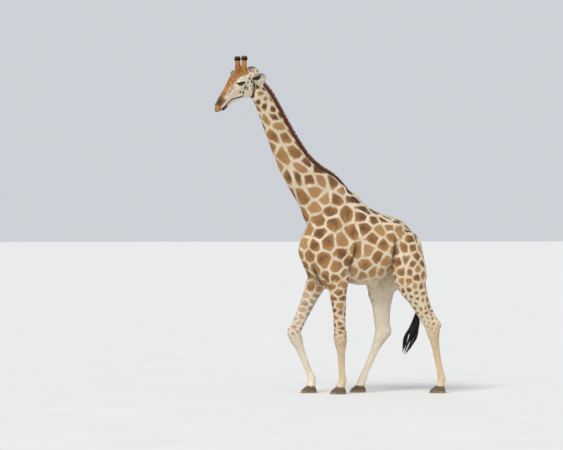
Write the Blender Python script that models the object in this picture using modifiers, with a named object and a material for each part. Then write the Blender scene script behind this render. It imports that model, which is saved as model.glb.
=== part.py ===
"""A bull giraffe at life size, walking, divided into its named body parts.

The body is lofted from a few cross-sections of the trunk, neck, head and legs, joined into one smooth
form and parted again with thin cuts. Metres, +Z up; the animal faces -X, its left side is -Y, and the
hooves stand on z = 0.
"""

import bmesh
import bpy
import numpy as np
from math import cos, pi, radians, sin
from mathutils import Matrix, Vector

GAP = 0.0003               # clearance between neighbouring parts
VOXEL = 0.008              # grid on which the lofted masses are joined
SMOOTHING_ROUNDS = 14
BODY_TRIANGLES = 4100
STAND_SHIFT = 0.5004       # moves the middle of the whole length onto x = 0

# Head: the poll is the origin of its frame, u to the nose, v to the animal's left, w out of the forehead.
POLL = Vector((-1.690, -0.035, 4.815))
HEAD_TURN = radians(23)    # to the animal's left
HEAD_DROOP = radians(45)   # nose below the horizontal
EYE_CENTRE = (0.306, 0.101, 0.022)
EYE_RADIUS = 0.029
EAR_LENGTH = 0.218
EAR_HALF_WIDTH = 0.066
# Ears in the head's frame: root, direction to the tip, direction the cup opens, sag of the lower edge.
EARS = {
    "left": ((0.102, 0.090, -0.066), (-0.575, 0.735, -0.350), (0.590, 0.710, 0.060), 0.030),
    "right": ((0.095, -0.104, -0.030), (0.240, -0.760, 0.600), (1.000, 0.350, 0.000), 0.010),
}
OSSICONE_ROOT = (0.150, 0.070, 0.080)
OSSICONE_TIP = (-0.036, 0.094, 0.268)

HOOF_LENGTH = 0.235
HOOF_WIDTH = 0.185
HOOF_HEIGHT = 0.098
CORONET_HEIGHT = 0.1078    # top of the horn, where the leg ends
CLEFT = 0.006              # between the two claws of a hoof
MANE_HEIGHT = 0.062
MANE_HALF_THICKNESS = 0.014

ACROSS = np.array((0.0, 1.0, 0.0))

# Trunk sections, breast to buttock: x, top, bottom, half width, height share of the widest, squareness.
TRUNK = (
    (-0.940, 2.220, 2.080, 0.045, 0.50, 2.0),
    (-0.900, 2.330, 1.985, 0.125, 0.50, 2.1),
    (-0.820, 2.480, 1.860, 0.195, 0.50, 2.2),
    (-0.690, 2.700, 1.690, 0.240, 0.50, 2.2),
    (-0.540, 2.870, 1.565, 0.265, 0.48, 2.2),
    (-0.360, 2.990, 1.570, 0.285, 0.46, 2.1),
    (-0.170, 3.015, 1.640, 0.310, 0.42, 2.0),
    (0.000, 2.880, 1.618, 0.342, 0.42, 2.0),
    (0.160, 2.772, 1.632, 0.362, 0.42, 2.0),
    (0.310, 2.700, 1.692, 0.356, 0.43, 2.0),
    (0.460, 2.645, 1.800, 0.325, 0.45, 2.0),
    (0.600, 2.600, 1.900, 0.275, 0.50, 2.0),
    (0.700, 2.535, 1.960, 0.225, 0.50, 2.0),
    (0.810, 2.390, 2.000, 0.160, 0.50, 2.0),
    (0.890, 2.270, 2.060, 0.090, 0.50, 2.0),
)

# Neck sections, head to trunk: throat x and z, nape x and z, half width.
NECK = (
    (-1.745, 4.560, -1.635, 4.735, 0.070),
    (-1.690, 4.440, -1.520, 4.635, 0.088),
    (-1.616, 4.330, -1.405, 4.500, 0.091),
    (-1.552, 4.170, -1.285, 4.300, 0.090),
    (-1.440, 3.860, -1.115, 3.995, 0.100),
    (-1.325, 3.560, -0.965, 3.745, 0.116),
    (-1.212, 3.300, -0.800, 3.515, 0.138),
    (-1.085, 3.060, -0.605, 3.350, 0.168),
    (-0.925, 2.800, -0.385, 3.225, 0.205),
    (-0.845, 2.580, -0.190, 3.055, 0.235),
    (-0.700, 2.350, -0.050, 2.850, 0.240),
)

# Skull and upper jaw: u, top w, bottom w, half width, widest share, squareness.
SKULL = (
    (-0.085, -0.025, -0.150, 0.056, 0.50, 2.0),
    (-0.040, 0.028, -0.180, 0.084, 0.55, 2.0),
    (0.050, 0.080, -0.185, 0.104, 0.58, 2.1),
    (0.140, 0.122, -0.180, 0.116, 0.60, 2.2),
    (0.220, 0.162, -0.160, 0.122, 0.62, 2.3),
    (0.300, 0.172, -0.130, 0.114, 0.60, 2.2),
    (0.380, 0.162, -0.105, 0.096, 0.55, 2.1),
    (0.460, 0.143, -0.085, 0.077, 0.50, 2.1),
    (0.540, 0.128, -0.062, 0.064, 0.50, 2.1),
    (0.620, 0.114, -0.050, 0.056, 0.50, 2.2),
    (0.700, 0.096, -0.045, 0.056, 0.45, 2.4),
    (0.760, 0.073, -0.043, 0.060, 0.40, 2.6),
    (0.810, 0.052, -0.042, 0.062, 0.38, 2.6),
    (0.850, 0.028, -0.036, 0.050, 0.42, 2.3),
    (0.872, 0.008, -0.024, 0.026, 0.50, 2.0),
)

# Lower jaw: u, top w, bottom w, half width.
JAW = (
    (0.060, -0.040, -0.190, 0.066),
    (0.150, -0.040, -0.236, 0.084),
    (0.235, -0.040, -0.283, 0.086),
    (0.310, -0.040, -0.254, 0.078),
    (0.390, -0.040, -0.196, 0.064),
    (0.470, -0.035, -0.158, 0.052),
    (0.550, -0.025, -0.127, 0.045),
    (0.640, -0.020, -0.107, 0.043),
    (0.720, -0.020, -0.098, 0.047),
    (0.775, -0.030, -0.086, 0.043),
    (0.802, -0.045, -0.068, 0.024),
)

# Leg joints from the top of the shoulder or hip down to the coronet, with the side's sign as the share of y.
FORE_JOINTS = {
    "left": ((-0.30, 0.165, 2.78), (-0.55, 0.225, 2.16), (-0.405, 0.215, 1.74), (-0.350, 0.205, 0.85),
             (-0.322, 0.200, 0.205), (-0.352, 0.200, 0.095)),
    "right": ((-0.34, 0.165, 2.78), (-0.62, 0.225, 2.16), (-0.585, 0.215, 1.74), (-0.968, 0.205, 0.895),
              (-0.700, 0.200, 0.215), (-0.712, 0.200, 0.095)),
}
HIND_JOINTS = {
    "left": ((0.60, 0.130, 2.42), (0.690, 0.215, 1.86), (0.760, 0.220, 1.58), (1.058, 0.215, 0.985),
             (1.205, 0.210, 0.205), (1.178, 0.210, 0.095)),
    "right": ((0.60, 0.130, 2.42), (0.520, 0.215, 1.86), (0.375, 0.220, 1.52), (0.392, 0.215, 0.890),
              (0.088, 0.210, 0.210), (0.048, 0.210, 0.095)),
}

# Leg sections: joint number and share of the way to the next, half depth in front and behind, half width.
FORE_SECTIONS = (
    (0, 0.00, 0.110, 0.150, 0.080),
    (0, 0.45, 0.205, 0.245, 0.108),
    (1, 0.00, 0.265, 0.330, 0.122),
    (1, 0.50, 0.235, 0.285, 0.122),
    (2, 0.00, 0.178, 0.198, 0.112),
    (2, 0.13, 0.150, 0.158, 0.100),
    (2, 0.27, 0.130, 0.135, 0.088),
    (2, 0.45, 0.108, 0.115, 0.076),
    (2, 0.66, 0.095, 0.097, 0.067),
    (2, 0.84, 0.094, 0.090, 0.066),
    (3, 0.00, 0.104, 0.100, 0.076),
    (3, 0.12, 0.098, 0.098, 0.072),
    (3, 0.30, 0.068, 0.070, 0.052),
    (3, 0.60, 0.053, 0.056, 0.045),
    (3, 0.88, 0.052, 0.056, 0.046),
    (4, 0.00, 0.058, 0.070, 0.058),
    (4, 0.55, 0.056, 0.064, 0.060),
    (4, 1.00, 0.066, 0.070, 0.076),
    (4, 1.80, 0.066, 0.070, 0.076),
)
HIND_SECTIONS = (
    (0, 0.00, 0.120, 0.170, 0.115),
    (0, 0.45, 0.205, 0.235, 0.135),
    (1, 0.00, 0.252, 0.275, 0.140),
    (1, 0.55, 0.250, 0.258, 0.130),
    (2, 0.05, 0.198, 0.208, 0.116),
    (2, 0.30, 0.150, 0.156, 0.096),
    (2, 0.55, 0.128, 0.134, 0.082),
    (2, 0.80, 0.112, 0.130, 0.070),
    (3, -0.02, 0.108, 0.140, 0.071),
    (3, 0.10, 0.098, 0.105, 0.068),
    (3, 0.26, 0.070, 0.076, 0.053),
    (3, 0.58, 0.053, 0.058, 0.045),
    (3, 0.87, 0.051, 0.058, 0.046),
    (4, 0.00, 0.058, 0.070, 0.058),
    (4, 0.55, 0.056, 0.064, 0.060),
    (4, 1.00, 0.066, 0.070, 0.076),
    (4, 1.80, 0.066, 0.070, 0.076),
)

# Tail: x, y, z and half width down to the root of the tuft, then the tuft itself.
TAIL = (
    (0.740, 0.000, 2.420, 0.040),
    (0.830, 0.000, 2.385, 0.036),
    (0.925, 0.000, 2.230, 0.030),
    (0.972, 0.000, 2.000, 0.025),
    (0.975, 0.000, 1.700, 0.020),
    (0.945, 0.000, 1.450, 0.017),
    (0.912, 0.000, 1.300, 0.016),
)
TUFT = (
    (0.912, 0.000, 1.300, 0.020),
    (0.890, 0.002, 1.190, 0.048),
    (0.860, 0.004, 1.040, 0.078),
    (0.800, 0.006, 0.860, 0.098),
    (0.730, 0.008, 0.680, 0.080),
    (0.675, 0.010, 0.540, 0.024),
)

COAT = (0.620, 0.410, 0.230)
HORN = (0.045, 0.035, 0.030)
HOOF = (0.110, 0.085, 0.065)
HAIR = (0.190, 0.075, 0.035)
BLACK_HAIR = (0.030, 0.024, 0.022)
EYE_BROWN = (0.035, 0.020, 0.012)


# ---------------------------------------------------------------- the scene and its collections

def empty_scene():
    """Remove what a new file holds."""
    for item in list(bpy.data.objects):
        bpy.data.objects.remove(item, do_unlink=True)


def new_collection(name):
    group = bpy.data.collections.new(name)
    bpy.context.scene.collection.children.link(group)
    return group


def material(name, colour, roughness):
    """A plain finish of one colour."""
    made = bpy.data.materials.new(name)
    made.use_nodes = True
    shader = made.node_tree.nodes["Principled BSDF"]
    shader.inputs["Base Color"].default_value = (*colour, 1.0)
    shader.inputs["Roughness"].default_value = roughness
    shader.inputs["Metallic"].default_value = 0.0
    return made


def new_object(name, mesh, group):
    made = bpy.data.objects.new(name, mesh)
    group.objects.link(made)
    return made


def finish(item, name, finish_material):
    """Name a part, give it its own finish and put it with the giraffe's parts."""
    item.name = name
    item.data.name = name
    item.data.materials.clear()
    item.data.materials.append(finish_material)
    for group in list(item.users_collection):
        group.objects.unlink(item)
    bpy.data.collections["giraffe"].objects.link(item)
    item.hide_render = False
    return item


# ---------------------------------------------------------------- lofted masses

def through(rows, spacing, path):
    """Rows read every `spacing` along a smooth curve through the given rows; `path` is where they lie."""
    rows = np.array(rows, float)
    gaps = np.maximum(np.linalg.norm(np.diff(path, axis=0), axis=1), 1e-6)[:, None]
    slopes = np.diff(rows, axis=0) / gaps
    inner = (slopes[:-1] * gaps[1:] + slopes[1:] * gaps[:-1]) / (gaps[:-1] + gaps[1:])
    tangents = np.vstack([slopes[:1], inner, slopes[-1:]])
    out = []
    for i, gap in enumerate(gaps[:, 0]):
        count = max(1, round(gap / spacing))
        for t in np.arange(count) / count:
            out.append((2 * t**3 - 3 * t**2 + 1) * rows[i] + (t**3 - 2 * t**2 + t) * gap * tangents[i]
                       + (3 * t**2 - 2 * t**3) * rows[i + 1] + (t**3 - t**2) * gap * tangents[i + 1])
    out.append(rows[-1])
    return np.array(out)


def loft(mass, sections, across=ACROSS, sides=28, spacing=0.02):
    """Add a closed body to the bmesh `mass`.

    A section runs from a low point to a high point, is half_width to each side, is widest at a share of
    the way up, and is a superellipse: (low xyz, high xyz, half_width, widest, squareness).
    """
    sections = np.array(sections, float)
    rows = through(sections, spacing, (sections[:, :3] + sections[:, 3:6]) / 2)
    rings = []
    for row in rows:
        low, high, half_width, widest, square = row[:3], row[3:6], row[6], row[7], row[8]
        ring = []
        for i in range(sides):
            c, s = cos(2 * pi * i / sides), sin(2 * pi * i / sides)
            side = np.sign(c) * abs(c) ** (2 / square)
            rise = np.sign(s) * abs(s) ** (2 / square)
            share = widest + rise * ((1 - widest) if rise > 0 else widest)
            ring.append(mass.verts.new(Vector(low + (high - low) * share + across * half_width * side)))
        rings.append(ring)
    for one, other in zip(rings, rings[1:]):
        for i in range(sides):
            j = (i + 1) % sides
            mass.faces.new((one[i], one[j], other[j], other[i]))
    for ring in (rings[0], rings[-1]):
        centre = mass.verts.new(sum((v.co for v in ring), Vector()) / sides)
        for i in range(sides):
            mass.faces.new((ring[i], ring[(i + 1) % sides], centre))


def ball(mass, centre, radii, turn=None):
    """Add an ellipsoid to the bmesh `mass`."""
    place = Matrix.Translation(centre) @ (turn or Matrix()).to_4x4() @ Matrix.Diagonal((*radii, 1.0))
    bmesh.ops.create_uvsphere(mass, u_segments=24, v_segments=16, radius=1.0, matrix=place)


def to_object(mass, name, group):
    """Turn a bmesh into an object with its faces pointing out."""
    bmesh.ops.recalc_face_normals(mass, faces=mass.faces)
    mesh = bpy.data.meshes.new(name)
    mass.to_mesh(mesh)
    mass.free()
    return new_object(name, mesh, group)


# ---------------------------------------------------------------- the animal's masses

def head_frame():
    """The matrix from the head's own frame (u, v, w) to the world."""
    forward = Vector((-cos(HEAD_TURN), -sin(HEAD_TURN), 0.0))
    left = Vector((sin(HEAD_TURN), -cos(HEAD_TURN), 0.0))
    up = Vector((0.0, 0.0, 1.0))
    u = forward * cos(HEAD_DROOP) - up * sin(HEAD_DROOP)
    w = forward * sin(HEAD_DROOP) + up * cos(HEAD_DROOP)
    turn = Matrix((u, left, w)).transposed()
    return Matrix.Translation(POLL) @ turn.to_4x4()


def trunk_mass(mass):
    loft(mass, [(x, 0, bottom, x, 0, top, half, widest, square)
                for x, top, bottom, half, widest, square in TRUNK])
    # Withers ridge, hip bones and the sheath under the belly.
    ball(mass, (-0.20, 0, 2.930), (0.260, 0.060, 0.120), Matrix.Rotation(radians(28), 3, "Y"))
    for side in (-1, 1):
        ball(mass, (0.500, side * 0.170, 2.480), (0.120, 0.085, 0.110))
        ball(mass, (0.862, side * 0.085, 2.150), (0.075, 0.070, 0.160))
    ball(mass, (0.225, 0, 1.625), (0.090, 0.030, 0.045), Matrix.Rotation(radians(-14), 3, "Y"))


def neck_mass(mass):
    loft(mass, [(fx, 0, fz, nx, 0, nz, half, 0.50, 2.15) for fx, fz, nx, nz, half in NECK], sides=26)


def leg_rows(joints, sections, side):
    """Loft sections of one leg, square to its own line: front point low, rear point high."""
    points = [np.array((x, side * y, z)) for x, y, z in joints]
    rows = []
    for bone, share, front, rear, half in sections:
        last = min(bone, len(points) - 2)
        along = points[last + 1] - points[last]
        if share < 0.03 and 0 < bone:
            before = points[last] - points[last - 1]
            along = along / np.linalg.norm(along) + before / np.linalg.norm(before)
        along = along / np.linalg.norm(along)
        centre = points[last] + (points[last + 1] - points[last]) * share
        forward = np.cross(ACROSS, along)
        forward = forward / np.linalg.norm(forward)
        if forward[0] > 0:
            forward = -forward
        rows.append((*(centre + forward * front), *(centre - forward * rear), half, 0.50, 2.1))
    return rows


def leg_masses(mass):
    for name, side in (("left", -1), ("right", 1)):
        fore, hind = FORE_JOINTS[name], HIND_JOINTS[name]
        loft(mass, leg_rows(fore, FORE_SECTIONS, side), sides=20)
        loft(mass, leg_rows(hind, HIND_SECTIONS, side), sides=20)
        # Point of the elbow, knee cap, point of the hock and the fetlock's rear pad.
        elbow, knee = Vector(fore[2]), Vector(fore[3])
        ball(mass, (elbow.x + 0.155, side * elbow.y, elbow.z + 0.055), (0.050, 0.050, 0.075))
        ball(mass, (knee.x - 0.045, side * knee.y, knee.z + 0.010), (0.060, 0.062, 0.075))
        stifle, hock = Vector(hind[2]), Vector(hind[3])
        ball(mass, (stifle.x - 0.155, side * stifle.y, stifle.z + 0.100), (0.075, 0.075, 0.110))
        ball(mass, (hock.x + 0.110, side * hock.y, hock.z + 0.035), (0.040, 0.036, 0.065))


def head_masses(mass, frame):
    """Skull, jaw, brows, cheeks and the ring of the lips, in the head's frame."""
    part = bmesh.new()
    loft(part, [(u, 0, low, u, 0, top, half, widest, square)
                for u, top, low, half, widest, square in SKULL], sides=32, spacing=0.012)
    loft(part, [(u, 0, low, u, 0, top, half, 0.55, 2.2)
                for u, top, low, half in JAW], sides=26, spacing=0.012)
    ball(part, (0.300, 0, 0.132), (0.085, 0.048, 0.042))
    for side in (-1, 1):
        ball(part, (0.295, side * 0.082, 0.046), (0.066, 0.040, 0.046))
        cheek_turn = Matrix.Rotation(radians(20), 3, "Y")
        ball(part, (0.190, side * 0.068, -0.110), (0.105, 0.038, 0.100), cheek_turn)
        ball(part, (0.080, side * 0.100, -0.030), (0.050, 0.034, 0.050))
        ball(part, (0.755, side * 0.036, 0.040), (0.050, 0.024, 0.030))
        ball(part, (0.160, side * 0.068, 0.108), (0.052, 0.040, 0.040))
    part.transform(frame)
    copy = bpy.data.meshes.new("head masses")
    part.to_mesh(copy)
    part.free()
    mass.from_mesh(copy)
    bpy.data.meshes.remove(copy)


# ---------------------------------------------------------------- joining, smoothing and thinning

def evaluated_copy(item, name, group):
    """A new object holding the item's mesh as its modifiers leave it."""
    graph = bpy.context.evaluated_depsgraph_get()
    mesh = bpy.data.meshes.new_from_object(item.evaluated_get(graph))
    return new_object(name, mesh, group)


def smooth(mesh, rounds):
    """Taubin smoothing, which rounds the creases between masses and keeps their volume."""
    count = len(mesh.vertices)
    co = np.empty(count * 3)
    mesh.vertices.foreach_get("co", co)
    co = co.reshape(-1, 3)
    ends = np.empty(len(mesh.edges) * 2, int)
    mesh.edges.foreach_get("vertices", ends)
    ends = ends.reshape(-1, 2)
    degree = np.bincount(ends.ravel(), minlength=count)[:, None]
    for step in range(2 * rounds):
        total = np.empty_like(co)
        for axis in range(3):
            total[:, axis] = (np.bincount(ends[:, 0], weights=co[ends[:, 1], axis], minlength=count)
                              + np.bincount(ends[:, 1], weights=co[ends[:, 0], axis], minlength=count))
        co += (0.60 if step % 2 == 0 else -0.62) * (total / degree - co)
    mesh.vertices.foreach_set("co", co.ravel())
    mesh.update()


def whole_body(work, frame):
    """The flesh of the animal as one closed mesh, finer on the head and feet."""
    mass = bmesh.new()
    trunk_mass(mass)
    neck_mass(mass)
    leg_masses(mass)
    head_masses(mass, frame)
    rough = to_object(mass, "masses", work)
    join = rough.modifiers.new("join", "REMESH")
    join.mode = "VOXEL"
    join.voxel_size = VOXEL
    joined = evaluated_copy(rough, "joined", work)
    bpy.data.objects.remove(rough)
    smooth(joined.data, SMOOTHING_ROUNDS)

    # The thinning is told where to spare detail: the group weighs plain stretches.
    plain = joined.vertex_groups.new(name="plain")
    back = frame.inverted()
    for vertex in joined.data.vertices:
        local = back @ vertex.co
        is_head = vertex.co.z > 4.25 and -0.15 < local.x
        weight = 0.12 if is_head else (0.75 if vertex.co.z < 1.2 else 1.0)
        plain.add([vertex.index], weight, "REPLACE")
    thin = joined.modifiers.new("thin", "DECIMATE")
    thin.use_collapse_triangulate = True
    thin.vertex_group = "plain"
    thin.vertex_group_factor = 1.0
    thin.ratio = BODY_TRIANGLES / (2 * len(joined.data.polygons))
    body = evaluated_copy(joined, "body", work)
    bpy.data.objects.remove(joined)
    return body


# ---------------------------------------------------------------- thin cuts

def boolean(item, other, operation, name, work):
    """The item joined with, cut by or kept inside another object, as a new object."""
    step = item.modifiers.new(operation.lower(), "BOOLEAN")
    step.operation = operation
    step.solver = "EXACT"
    step.object = other
    made = evaluated_copy(item, name, work)
    item.modifiers.remove(step)
    return made


def hull(corners, name, work, grow=0.0):
    """A convex cutter from its corners, made larger by `grow` all round."""
    centre = sum((Vector(c) for c in corners), Vector()) / len(corners)
    mass = bmesh.new()
    for corner in corners:
        away = Vector(corner) - centre
        mass.verts.new(Vector(corner) + Vector([grow if a > 0 else -grow for a in away]) * 1.7)
    bmesh.ops.convex_hull(mass, input=mass.verts)
    loose = [v for v in mass.verts if not v.link_faces]
    bmesh.ops.delete(mass, geom=loose, context="VERTS")
    made = to_object(mass, name, work)
    made.hide_render = True
    made.display_type = "WIRE"
    return made


def block_beyond(point, normal, reach, work):
    """A block that fills the space on the normal's side of a plane."""
    normal = Vector(normal).normalized()
    mass = bmesh.new()
    bmesh.ops.create_cube(mass, size=1.0)
    turn = normal.to_track_quat("Z", "Y").to_matrix().to_4x4()
    size = Matrix.Diagonal((2 * reach, 2 * reach, reach, 1.0))
    middle = Matrix.Translation(Vector(point) + normal * reach / 2)
    bmesh.ops.transform(mass, matrix=middle @ turn @ size, verts=mass.verts)
    made = to_object(mass, "block", work)
    made.hide_render = True
    made.display_type = "WIRE"
    return made


def split(item, point, normal, reach, name, work):
    """Part an item across a plane: the piece on the normal's side, and the rest, with the gap between."""
    normal = Vector(normal).normalized()
    near = block_beyond(Vector(point) + normal * GAP / 2, normal, reach, work)
    far = block_beyond(Vector(point) - normal * GAP / 2, normal, reach, work)
    piece = boolean(item, near, "INTERSECT", name, work)
    rest = boolean(item, far, "DIFFERENCE", item.name + " rest", work)
    for used in (near, far, item):
        bpy.data.objects.remove(used)
    return piece, rest


def grown(items, work):
    """One object holding copies of the items, each pushed out by the gap, to cut a neighbour with."""
    mass = bmesh.new()
    for item in items:
        mass.from_mesh(item.data)
    mass.normal_update()
    places = [v.co + v.normal * GAP * 1.3 for v in mass.verts]
    for vertex, place in zip(mass.verts, places):
        vertex.co = place
    made = to_object(mass, "grown", work)
    made.hide_render = True
    made.display_type = "WIRE"
    return made


def cut_by(item, cutter, name, work):
    made = boolean(item, cutter, "DIFFERENCE", name, work)
    bpy.data.objects.remove(item)
    return made


def keep_largest(item):
    """Drop the crumbs a cut can leave."""
    mass = bmesh.new()
    mass.from_mesh(item.data)
    left, islands = set(mass.verts), []
    while left:
        seed = left.pop()
        island, queue = {seed}, [seed]
        while queue:
            for edge in queue.pop().link_edges:
                for vertex in edge.verts:
                    if vertex in left:
                        left.discard(vertex)
                        island.add(vertex)
                        queue.append(vertex)
        islands.append(island)
    islands.sort(key=len)
    crumbs = [v for island in islands[:-1] for v in island]
    bmesh.ops.delete(mass, geom=crumbs, context="VERTS")
    mass.to_mesh(item.data)
    mass.free()


# ---------------------------------------------------------------- parts of their own

def eye(name, side, frame, work):
    mass = bmesh.new()
    u, v, w = EYE_CENTRE
    place = frame @ Matrix.Translation((u, side * v, w)) @ Matrix.Rotation(pi / 2, 4, "X")
    bmesh.ops.create_uvsphere(mass, u_segments=14, v_segments=8, radius=EYE_RADIUS, matrix=place)
    return to_object(mass, name, work)


def ear(name, frame, root, axis, opening, sag, work):
    """A cupped leaf on a short tube, from its root along its axis, open towards `opening`, fuller below."""
    axis = Vector(axis).normalized()
    facing = (Vector(opening) - axis * axis.dot(Vector(opening))).normalized()
    across = facing.cross(axis)
    mass = bmesh.new()
    steps, spans = 10, 6
    grid = []
    for i in range(steps + 1):
        s = i / steps
        leaf_shape = 0.36 + 1.30 * s**0.8 * (1 - s) ** 0.55
        point = 0.08 + 0.92 * min(1.0, (1 - s) / 0.30) ** 0.7
        half = EAR_HALF_WIDTH * leaf_shape * point
        curl = radians(128 - 62 * min(1.0, s / 0.45))
        radius = half / max(sin(curl / 2), 0.5)
        centre = Vector(root) + axis * (EAR_LENGTH * s) - (facing * 0.035 * s + across * sag) * sin(pi * s)
        row = []
        for j in range(spans + 1):
            angle = curl * (2 * j / spans - 1)
            bend = across * (radius * sin(angle)) + facing * (radius * (1 - cos(angle)) * 0.62)
            row.append(mass.verts.new(frame @ (centre + bend)))
        grid.append(row)
    for one, other in zip(grid, grid[1:]):
        for j in range(spans):
            mass.faces.new((one[j], one[j + 1], other[j + 1], other[j]))
    leaf = to_object(mass, "leaf", work)
    shell = leaf.modifiers.new("thickness", "SOLIDIFY")
    shell.thickness = 0.007
    shell.offset = 0.0
    made = evaluated_copy(leaf, name, work)
    bpy.data.objects.remove(leaf)
    return made


def ossicone(side, frame, work):
    """The skin-covered shaft and the bald knob at its end."""
    root = Vector((OSSICONE_ROOT[0], side * OSSICONE_ROOT[1], OSSICONE_ROOT[2]))
    tip = Vector((OSSICONE_TIP[0], side * OSSICONE_TIP[1], OSSICONE_TIP[2]))
    line = (tip - root).normalized()
    length = (tip - root).length
    forward = Vector((1.0, 0.0, 0.0))
    forward = (forward - line * line.dot(forward)).normalized()
    across = np.array(line.cross(forward))

    def rows(table):
        made = []
        for along, half in table:
            middle = root + line * along
            made.append((*(middle - forward * half), *(middle + forward * half), half * 0.94, 0.5, 2.0))
        return made

    knob_start = length - 0.058
    shaft_table = ((-0.045, 0.036), (0.0, 0.053), (0.045, 0.057), (0.100, 0.048), (0.150, 0.042),
                   (knob_start, 0.040))
    knob_table = ((knob_start, 0.039), (knob_start + 0.016, 0.047), (length - 0.022, 0.048),
                  (length - 0.006, 0.038), (length, 0.016))
    pieces = []
    for table, name in ((shaft_table, "shaft"), (knob_table, "knob")):
        mass = bmesh.new()
        shifted = [(a + (GAP if name == "knob" and i == 0 else 0.0), r) for i, (a, r) in enumerate(table)]
        loft(mass, rows(shifted), across=across, sides=14, spacing=0.04)
        bmesh.ops.transform(mass, matrix=frame, verts=mass.verts)
        pieces.append(to_object(mass, name, work))
    return pieces


def mane(work, frame):
    """The upright fin of hair from the poll to the withers."""
    crest = [frame @ Vector((0.020, 0, 0.062)), frame @ Vector((-0.045, 0, 0.018))]
    line = [(p.x, p.y, p.z, height) for p, height in zip(crest, (0.012, 0.032))]
    for _, _, nx, nz, _ in NECK[1:-1]:
        line.append((nx, 0.0, nz, MANE_HEIGHT))
    line[-1] = (*line[-1][:3], 0.012)
    line = np.array(line)
    line = through(line, 0.15, line[:, :3])
    mass = bmesh.new()
    tangents = np.gradient(line[:, :3], axis=0)
    rings = []
    for i, (row, tangent) in enumerate(zip(line, tangents)):
        tangent = Vector(tangent).normalized()
        out = tangent.cross(Vector((0, 1, 0))).normalized()
        if out.x + out.z < 0:
            out = -out
        centre, height = Vector(row[:3]), row[3]
        thick = MANE_HALF_THICKNESS
        profile = ((-thick, -0.025), (thick, -0.025), (thick, height * 0.55), (thick * 0.40, height),
                   (-thick * 0.40, height), (-thick, height * 0.55))
        rings.append([mass.verts.new(centre + Vector((0, y, 0)) + out * rise) for y, rise in profile])
    for one, other in zip(rings, rings[1:]):
        for i in range(len(one)):
            j = (i + 1) % len(one)
            mass.faces.new((one[i], one[j], other[j], other[i]))
    mass.faces.new(rings[0])
    mass.faces.new(rings[-1])
    bmesh.ops.triangulate(mass, faces=mass.faces)
    return to_object(mass, "mane", work)


def hanging(table, name, sides, work, flatten=1.0):
    """A tail length or its tuft, from points down its line and a half width."""
    rows = []
    for x, y, z, half in table:
        rows.append((x - half, y, z, x + half, y, z, half * flatten, 0.5, 2.0))
    mass = bmesh.new()
    loft(mass, rows, sides=sides, spacing=0.20)
    return to_object(mass, name, work)


def hoof_claw(foot, side, claw, name, work):
    """One claw of a hoof: a D-shaped horn capsule, flat below, cut level above under the coronet."""
    x, y, _ = foot
    toe, heel = HOOF_LENGTH * 0.62, HOOF_LENGTH * 0.38
    half = (HOOF_WIDTH - CLEFT) / 4
    mass = bmesh.new()
    rings = []
    for level, lean, swell in ((0.0, 0.0, 1.0), (0.30, 0.24, 0.955), (0.65, 0.54, 0.90), (1.0, 0.86, 0.84)):
        ring = []
        for i in range(16):
            angle = 2 * pi * i / 16
            c, s = cos(angle), sin(angle)
            reach = toe * (1 - 0.44 * lean) if c > 0 else heel * (1 - 0.12 * lean)
            outer = s * claw > 0
            wide = half * swell * (1.0 if not outer else 1.06) * abs(s) ** (0.55 if outer else 0.85)
            taper = 1 - 0.20 * max(c, 0.0) ** 2
            along = reach * np.sign(c) * abs(c) ** 0.80 - 0.012 * lean
            ring.append(mass.verts.new(Vector((
                x - along, y + claw * (half + CLEFT / 2) + np.sign(s) * wide * taper,
                HOOF_HEIGHT * level * (1.0 + 0.10 * c * level)))))
        rings.append(ring)
    for one, other in zip(rings, rings[1:]):
        for i in range(16):
            j = (i + 1) % 16
            mass.faces.new((one[i], one[j], other[j], other[i]))
    mass.faces.new(rings[0])
    mass.faces.new(rings[-1])
    bmesh.ops.triangulate(mass, faces=mass.faces)
    return to_object(mass, name, work)


# ---------------------------------------------------------------- the giraffe, part by part

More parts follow.
